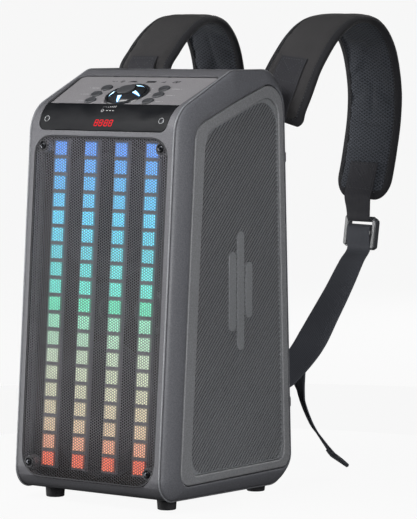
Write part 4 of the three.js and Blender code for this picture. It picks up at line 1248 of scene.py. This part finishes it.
class Route:
    """A smooth line through points, with the directions along, across and out of a strap on it."""

    def __init__(self, points, per_span=24, turns=((0, 0), (1, 0))):
        self.turns = np.array(turns, float)
        pts = [np.array(p, float) for p in points]
        full = [2 * pts[0] - pts[1], *pts, 2 * pts[-1] - pts[-2]]
        line = []
        for p0, p1, p2, p3 in zip(full, full[1:], full[2:], full[3:]):
            d0, d1, d2 = (math.sqrt(np.linalg.norm(b - a)) for a, b in ((p0, p1), (p1, p2), (p2, p3)))
            t1 = ((p1 - p0) / d0 - (p2 - p0) / (d0 + d1) + (p2 - p1) / d1) * d1
            t2 = ((p2 - p1) / d1 - (p3 - p1) / (d1 + d2) + (p3 - p2) / d2) * d1
            for k in range(per_span):
                t = k / per_span
                bend, twist = 3 * (p2 - p1) - 2 * t1 - t2, 2 * (p1 - p2) + t1 + t2
                line.append(p1 + t1 * t + bend * t ** 2 + twist * t ** 3)
        line.append(pts[-1])
        self.line = np.array(line)
        self.marks = distances(self.line)
        self.length = self.marks[-1]
        self.slopes = np.gradient(self.line, self.marks, axis=0)

    def frame(self, s):
        centre = between(s, self.marks, self.line)
        along = between(s, self.marks, self.slopes)
        along /= np.linalg.norm(along)
        turn = math.radians(np.interp(s / self.length, self.turns[:, 0], self.turns[:, 1]))
        across = np.array([math.cos(turn), math.sin(turn), 0])
        wide = across - along * along.dot(across)
        wide /= np.linalg.norm(wide)
        return centre, along, wide, np.cross(wide, along)

    def point(self, s, w, h):
        centre, _, wide, out = self.frame(s)
        return centre + wide * w + out * h


def strap_points(route, side):
    """Route points of one side in metres, in the row frame."""
    points = []
    for depth, z, x in route:
        y = (BACK_START + depth * STRAP_REACH[side]) * MM + SHIFT
        points.append(np.array([SIGN[side] * x * MM, y, z * MM]))
    return points


def buckle_centre(side):
    return strap_points([BUCKLE_SPOT], side)[0]


def by_lock(side, places):
    """Points in front of or behind the turned buckle and above or below its centre, in millimetres."""
    turn = math.radians(LOCK_TURN[side])
    ahead = np.array([-math.sin(turn), math.cos(turn), 0])
    return [buckle_centre(side) + (ahead * y + np.array([0, 0, z])) * MM for y, z in places]


PAD_LINES = {side: Route(strap_points(PAD_ROUTES[side], side)) for side in STRAP_REACH}


def pad_half(side, s):
    """Half the pad's width at a distance along it: full in the middle, drawn in round the ends."""
    length = PAD_LINES[side].length
    near, radius = (s, PAD_CORNERS[0]) if s < length / 2 else (length - s, PAD_CORNERS[1])
    radius *= MM
    half = STRAP_WIDTH * MM / 2
    if near >= radius:
        return half
    rest = radius - max(near, 0)
    return half - (radius - math.sqrt(max(radius ** 2 - rest ** 2, 0))) * 0.75


def pad_mesh(side):
    """The padded body: a closed tube of a cloth face and a mesh face, and how firmly each point is sewn."""
    line = PAD_LINES[side]
    seam = 0.8 * MM
    rows, columns = int(line.length / (PAD_CELL * MM)), 20
    rings, uv, pins = [], [], []
    for i in range(rows + 1):
        s = seam + (line.length - 2 * seam) * i / rows
        half = pad_half(side, s) - seam
        to_end = min(s, line.length - s)
        ring = []
        for face in (1, -1):
            for k in range(columns + 1):
                share = 2 * k / columns - 1
                crown = (1 - abs(share) ** 3) * min(1, to_end / (14 * MM))
                ring.append(line.point(s, share * half * face, face * (1.9 + 2.3 * crown) * MM))
                uv.append((share * half * face, s))
                pins.append(1.0 if abs(share) > 0.82 or to_end < 7 * MM else 0.0)
        rings.append(ring)
    count = 2 * (columns + 1)
    faces = []
    for i in range(rows):
        faces += bridge(i * count, (i + 1) * count, count)
    kinds = ([0] * columns + [1] * (count - columns)) * rows + [0] * 2 * columns
    last = rows * count
    for k in range(columns):
        faces.append((count - 1 - k, count - 2 - k, k + 1, k))
        faces.append((last + k, last + k + 1, last + count - 2 - k, last + count - 1 - k))
    points = [p for ring in rings for p in ring]
    obj = piece("pad_" + side, points, faces, [CLOTH, NET], slot="strap_fabric", smooth=60, uv=uv,
                kinds=kinds)
    face_out(obj)
    return obj, pins


def puff(obj, pins, limit):
    """Blows the pad up as cloth between its pinned seams; no point ends past LIMIT from its start."""
    rest = positions(obj.data)
    group = obj.vertex_groups.new(name="seam")
    for weight in (0.0, 1.0):
        group.add([i for i, pin in enumerate(pins) if pin == weight], weight, "REPLACE")
    cloth = obj.modifiers.new("cloth", "CLOTH")
    for setting, value in PAD_CLOTH.items():
        setattr(cloth.settings, setting, value)
    cloth.settings.effector_weights.gravity = 0
    cloth.point_cache.frame_end = 22
    for step in range(1, 21):
        SCENE.frame_set(step)
    moved = positions(obj.evaluated_get(bpy.context.evaluated_depsgraph_get()).data)
    obj.modifiers.remove(cloth)
    SCENE.frame_set(1)
    shift = moved - rest
    size = np.linalg.norm(shift, axis=1, keepdims=True)
    shift *= np.minimum(1, limit / np.maximum(size, 1e-9))
    obj.data.vertices.foreach_set("co", (rest + shift).ravel())
    obj.data.update()


def pad_edge(side, inner):
    """The pad's outline moved in by INNER, as (s, w) pairs round it."""
    length = PAD_LINES[side].length
    near, far = PAD_CORNERS[0] * MM, PAD_CORNERS[1] * MM
    bend = 1 - np.cos(np.linspace(0, math.pi / 2, 16))
    middle = np.linspace(near, length - far, PAD_EDGE_STEPS)[1:-1]
    spans = np.concatenate([bend * near, middle, length - bend[::-1] * far])
    shift = inner / (length / 2)
    pairs = [(s + (length / 2 - s) * shift, pad_half(side, s) - inner) for s in spans]
    (first, first_half), (last, last_half) = pairs[0], pairs[-1]
    across = [(last, last_half * t) for t in np.linspace(1, -1, 12)[1:-1]]
    close = [(first, first_half * t) for t in np.linspace(-1, 1, 12)[1:-1]]
    return pairs + across + [(s, -w) for s, w in reversed(pairs)] + close


def binding(side):
    """Tape folded round the pad's edge."""
    line = PAD_LINES[side]
    outer = [(7.6, 3.6), (7.4, 4.3), (5.2, 4.25), (2.4, 3.5), (0.6, 2.1)]
    inner = [(4.8, -2.8), (1.6, -1.6)]
    profile = [*outer, (0, 0), *[(depth, -height) for depth, height in reversed(outer)],
               *inner, (1.2, 0), *[(depth, -height) for depth, height in reversed(inner)]]
    rings, uv = [], []
    for j, (depth, height) in enumerate(profile):
        ring = []
        for s, w in pad_edge(side, depth * MM):
            ripple = 1 + 0.06 * field.noise(Vector((s * 90, w * 60, j * 0.1)))
            ring.append(line.point(s, w, height * MM * ripple))
        rings.append(ring)
        uv += [(j * 1.1 * MM, travelled) for travelled in distances(ring)]
    loft("binding_" + side, rings, BINDING, "looped", slot="strap_fabric", smooth=60, uv=uv)


def stitches(name, runs, slot):
    """Thread: small spindles end to end along runs of (point, normal)."""
    points, faces, uv = [], [], []
    step, thick = STITCH * MM, STITCH_THICK * MM
    for run in runs:
        line, normals = (np.array(rows) for rows in zip(*run))
        marks = distances(line)
        place = STITCH_GAP * MM
        while place + step < marks[-1]:
            a, b, middle = (between(place + t, marks, line) for t in (0, step, step / 2))
            out = between(place + step / 2, marks, normals)
            out /= np.linalg.norm(out)
            across = np.cross(out, (b - a) / np.linalg.norm(b - a)) * thick
            out *= thick
            start = len(points)
            points += [a, middle + across, middle + out * 1.3, middle - across, middle - out * 0.6, b]
            uv += [(x * MM, y * MM) for x, y in ((0, 0), (0, 1), (1, 1), (1, 0), (0, 0), (1, 1))]
            for i, j in ((1, 2), (2, 3), (3, 4), (4, 1)):
                faces += [(start, start + i, start + j), (start + 5, start + j, start + i)]
            place += step + STITCH_GAP * MM
    return piece(name, points, faces, THREAD, slot=slot, smooth=80, uv=uv)


def pad_stitches(side):
    """A row of stitches through the binding, all round on both faces."""
    line = PAD_LINES[side]
    runs = []
    for face in (1, -1):
        lift = face * 4.5 * MM
        run = [(line.point(s, w, lift), line.frame(s)[3] * face) for s, w in pad_edge(side, 6.2 * MM)]
        runs.append(run + run[:1])
    stitches("pad_stitches_" + side, runs, "strap_fabric")


def web_strip(name, route, width=WEB_WIDTH, thick=1.8, start=0.0, end=None, look=WEBBING):
    """Flat webbing along a route with rounded selvedges. Returns the piece and its length."""
    length = (end or route.length) - start
    rows = max(8, int(length / (2.5 * MM)))
    half, rise = width / 2 * MM, thick / 2 * MM
    section = [(-half, 0.0), (-half + 0.4 * MM, rise * 0.8), (-half + 1.1 * MM, rise)]
    section += [(half * t, rise) for t in (-0.7, -0.4, -0.1, 0.2, 0.5, 0.75)]
    section += [(half - 1.1 * MM, rise), (half - 0.4 * MM, rise * 0.8), (half, 0.0)]
    section += [(w, -h) for w, h in reversed(section[1:-1])]
    rings, uv = [], []
    for i in range(rows + 1):
        s = start + length * i / rows
        sway = 0.35 * MM * field.noise(Vector((s * 30, width, thick)))
        rings.append([route.point(s, w, h + sway * (w / half)) for w, h in section])
        uv += [(w, s) for w, _ in section]
    return loft(name, rings, look, slot="webbing", smooth=50, uv=uv), length


def sheet_web(name, node, route, look=WEBBING):
    """Stretched webbing that stands for a CAD node."""
    obj, length = web_strip(name, route, look=look)
    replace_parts(obj, node)


def on_pad(side, start, end, face, count):
    """Points just over one face of the pad, between two shares of its length."""
    line = PAD_LINES[side]
    shares = [start + (end - start) * i / count for i in range(count + 1)]
    return [line.point(line.length * share, 0, face * 7.5 * MM) for share in shares]


def under_loop(side, heights):
    """Points against the back of the cabinet, where a loop holds the webbing."""
    x = SIGN[side] * LOOP_OUT * MM
    return [np.array([x, (back_at(z) + 1.6) * MM + SHIFT, z * MM]) for z in heights]


def box_runs(route, start, end, half, lift, faces=(1, -1)):
    """Stitched boxes with a cross in them, on the faces of a strap, in millimetres."""
    left, right = -half, half
    pairs = [((start, left), (end, left)), ((end, left), (end, right)), ((end, right), (start, right)),
             ((start, right), (start, left)), ((start, left), (end, right)), ((start, right), (end, left))]
    runs = []
    for face in faces:
        for a, b in pairs:
            spots = np.linspace(a, b, 9) * MM
            runs.append([(route.point(s, w, face * lift * MM), route.frame(s)[3] * face) for s, w in spots])
    return runs


def webbing(side):
    """The three webs of a strap, the loose tail with its hem, and their stitched boxes."""
    pad, lock, turn, sign = "pad_" + side, "ladder_lock_" + side, LOCK_TURN[side], SIGN[side]
    upper = Route([*on_pad(side, 0.04, 0.17, 1, 5)[::-1], *under_loop(side, UPPER_LOOP)])
    sheet_web("sewn_web_" + side, "upper_webbing_" + side, upper, SEWN_WEBBING)

    over_bar = by_lock(side, ((-5.4, 22), (-5.0, 17), (-2.6, 13.6), (1.6, 13.8), (4.6, 18)))
    turns = ((0, 0), (0.45, 0), (0.72, turn), (1, turn))
    lock_web = Route([*on_pad(side, 0.9, 1, -1, 4), *over_bar], turns=turns)
    sheet_web("lock_web_" + side, "buckle_webbing_" + side, lock_web, SEWN_WEBBING)

    threaded = by_lock(side, ((3.8, 4), (1.6, 8.2), (-3.2, 8), (-5.4, 3), (-5.4, -8), (-4.4, -19)))
    turns = ((0, turn), (0.16, turn), (0.36, 0), (0.6, 20 * sign), (0.85, 22 * sign), (0.97, 0), (1, 0))
    lower = Route([*threaded, *strap_points(WEB_ROUTE, side), *under_loop(side, LOWER_LOOP)], turns=turns)
    sheet_web("lower_web_" + side, "lower_webbing_" + side, lower)

    turns = ((0, -12 * sign), (0.25, -44 * sign), (0.7, -48 * sign), (1, -36 * sign))
    loose = Route(strap_points(TAIL_ROUTE, side), turns=turns)
    tip = loose.length
    tail, length = web_strip("web_tail_" + side, loose, TAIL_WIDTH)
    hem, _ = web_strip("web_hem_" + side, loose, TAIL_WIDTH - 0.4, 4.6, tip - 14 * MM, tip - 0.4 * MM)

    runs = box_runs(upper, 3, 30, 15, 1.1) + box_runs(lock_web, 3, 32, 15, 1.1, (-1,))
    runs += box_runs(loose, tip / MM - 11, tip / MM - 3, 13, 1.9)
    stitches("web_stitches_" + side, runs, "webbing")


def pads(side):
    """The padded strap: its body, blown up as cloth, its binding and its stitches."""
    pad, pins = pad_mesh(side)
    puff(pad, pins, 2.2 * MM)
    pad.modifiers.new("subdivide", "SUBSURF").render_levels = 1
    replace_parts(pad, "strap_pad_" + side)
    binding(side)
    pad_stitches(side)


def ladder_lock(side):
    """A ladder lock: two rails with studs, four bars and a lifting lip."""
    turn = math.radians(LOCK_TURN[side])
    matrix = Matrix.Translation(Vector(buckle_centre(side))) @ Matrix.Rotation(turn, 4, "Z")
    matrix = matrix @ Matrix.Rotation(math.radians(86), 4, "X") @ Matrix.Rotation(turn / 3, 4, "Z")
    gaps = ((19.4, 7.2, 14), (16, -4, 3.6), (16, -14, -7.4))
    slots = [rounded(slab(half, low, high, 1.6), 5) for half, low, high in gaps]
    parts = [plate("body", [rounded(slab(25.8, -19, 19, 5), 8), *slots], -2.6, 2.6, matrix, BUCKLE, 1.1)]
    knob = [(0, -1.6), (2.2, -1.6), (2.2, 0.7), (1.8, 1.3), (0, 1.5)]
    for sign in (-1, 1):
        rail = rounded(slab(3.2, -17.5, 17.5, 3, sign * 22.8), 6)
        parts.append(plate("rail", [rail], -3.6, 3.9, matrix, BUCKLE, 1.3))
        stud = at(matrix, sign * 25.2, -4) @ Matrix.Rotation(math.pi / 2, 4, "Y")
        parts.append(lathe("stud", knob, stud, BUCKLE, 24))
    for y in (16.4, 5.4, -5.7, -16.4):
        bar = rounded(slab(19.6, y - 1.25, y + 1.25, 1.2), 4)
        parts.append(plate("bar", [bar], -3.3, 3.3, matrix, BUCKLE, 1.0))
    lip = at(matrix, 0, -18.4, -1) @ Matrix.Rotation(math.radians(-24), 4, "X")
    corners = [(-9, -9, 3.5), (-9, 1, 0.5), (9, 1, 0.5), (9, -9, 3.5)]
    parts.append(plate("lip", [rounded(corners, 6)], -1.4, 1.4, lip, BUCKLE, 0.6))
    lock = joined("ladder_lock_" + side, parts)
    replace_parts(lock, "buckle_" + side)


# ---- stage ------------------------------------------------------------------------------------------
def area_light(name, place, target, size, power):
    data = bpy.data.lights.new(name, "AREA")
    data.shape = "RECTANGLE"
    data.size, data.size_y = size
    data.energy = power
    aim(added(name, data), place, target)


def floor():
    """A pale floor that curves up far away all round."""
    segments, points = 96, [(0, 0, 0)]
    profile = [(1, 0), (6, 0), (9, 0), (10.5, 0.25), (11.6, 1.0), (12.3, 2.4), (12.5, 5), (12.5, 9)]
    for radius, height in profile:
        points += hoop(radius, height, segments)
    faces = [(0, 1 + k, 1 + (k + 1) % segments) for k in range(segments)]
    for i in range(len(profile) - 1):
        faces += bridge(1 + i * segments, 1 + (i + 1) * segments, segments)
    mesh = bpy.data.meshes.new("floor")
    mesh.from_pydata(points, [], faces)
    shade_smooth(mesh)
    look = Look("floor", roughness=1.0, Specular_IOR_Level=0.0, Emission_Color=rgb(WHITE),
                Emission_Strength=0.93)
    look.drive(Base_Color=look.shades(look.noise(2.0), WHITE, 0.03, 0.034))
    mesh.materials.append(look.data)
    obj = added("floor", mesh)
    obj.visible_diffuse = obj.visible_glossy = obj.visible_shadow = False


def world():
    """Soft light that is a little brighter above than below."""
    SCENE.world = bpy.data.worlds.new("studio")
    SCENE.world.use_nodes = True
    tree = SCENE.world.node_tree
    kinds = ("TexCoord", "SeparateXYZ", "MapRange")
    where, split, spread = (tree.nodes.new("ShaderNode" + kind) for kind in kinds)
    for socket, value in {"From Min": -0.6, "From Max": 0.8, "To Min": 0.17, "To Max": 0.22}.items():
        spread.inputs[socket].default_value = value
    tree.links.new(where.outputs["Generated"], split.inputs[0])
    tree.links.new(split.outputs["Z"], spread.inputs["Value"])
    tree.links.new(spread.outputs["Result"], tree.nodes["Background"].inputs["Strength"])


def lights():
    """Softboxes at the right front, over the front, at the left and behind."""
    area_light("key", (1.36, -1.0, 0.42), (0.05, -0.1, 0.28), (0.6, 0.7), 16)
    area_light("front", (-0.15, -1.0, 1.15), (0, -0.1, 0.42), (0.8, 0.5), 14)
    area_light("left", (-1.8, -0.9, 0.12), (-0.1, 0.1, 0.5), (1.0, 0.8), 33)
    area_light("back", (-0.1, 2.3, 0.8), (0, 0.1, 0.35), (1.4, 1.0), 38)


# ---- the object ---------------------------------------------------------------------------------------
dress_cad_nodes()
light_up_bars()
for one_side in ("right", "left"):
    cheek(one_side)
    bead(one_side)
    side_rim(one_side)
    rib_panel(one_side)
    emblem(one_side)
perforated_sheet()
grille_screws()
display_strip()
strip_marks()
strip_screws()
control_panel()
panel_marks()
buttons()
dial()
feet()
rear_details()
for one_side in ("right", "left"):
    pads(one_side)
    ladder_lock(one_side)
    webbing(one_side)

floor()
world()
lights()
SCENE.view_settings.view_transform = "Standard"
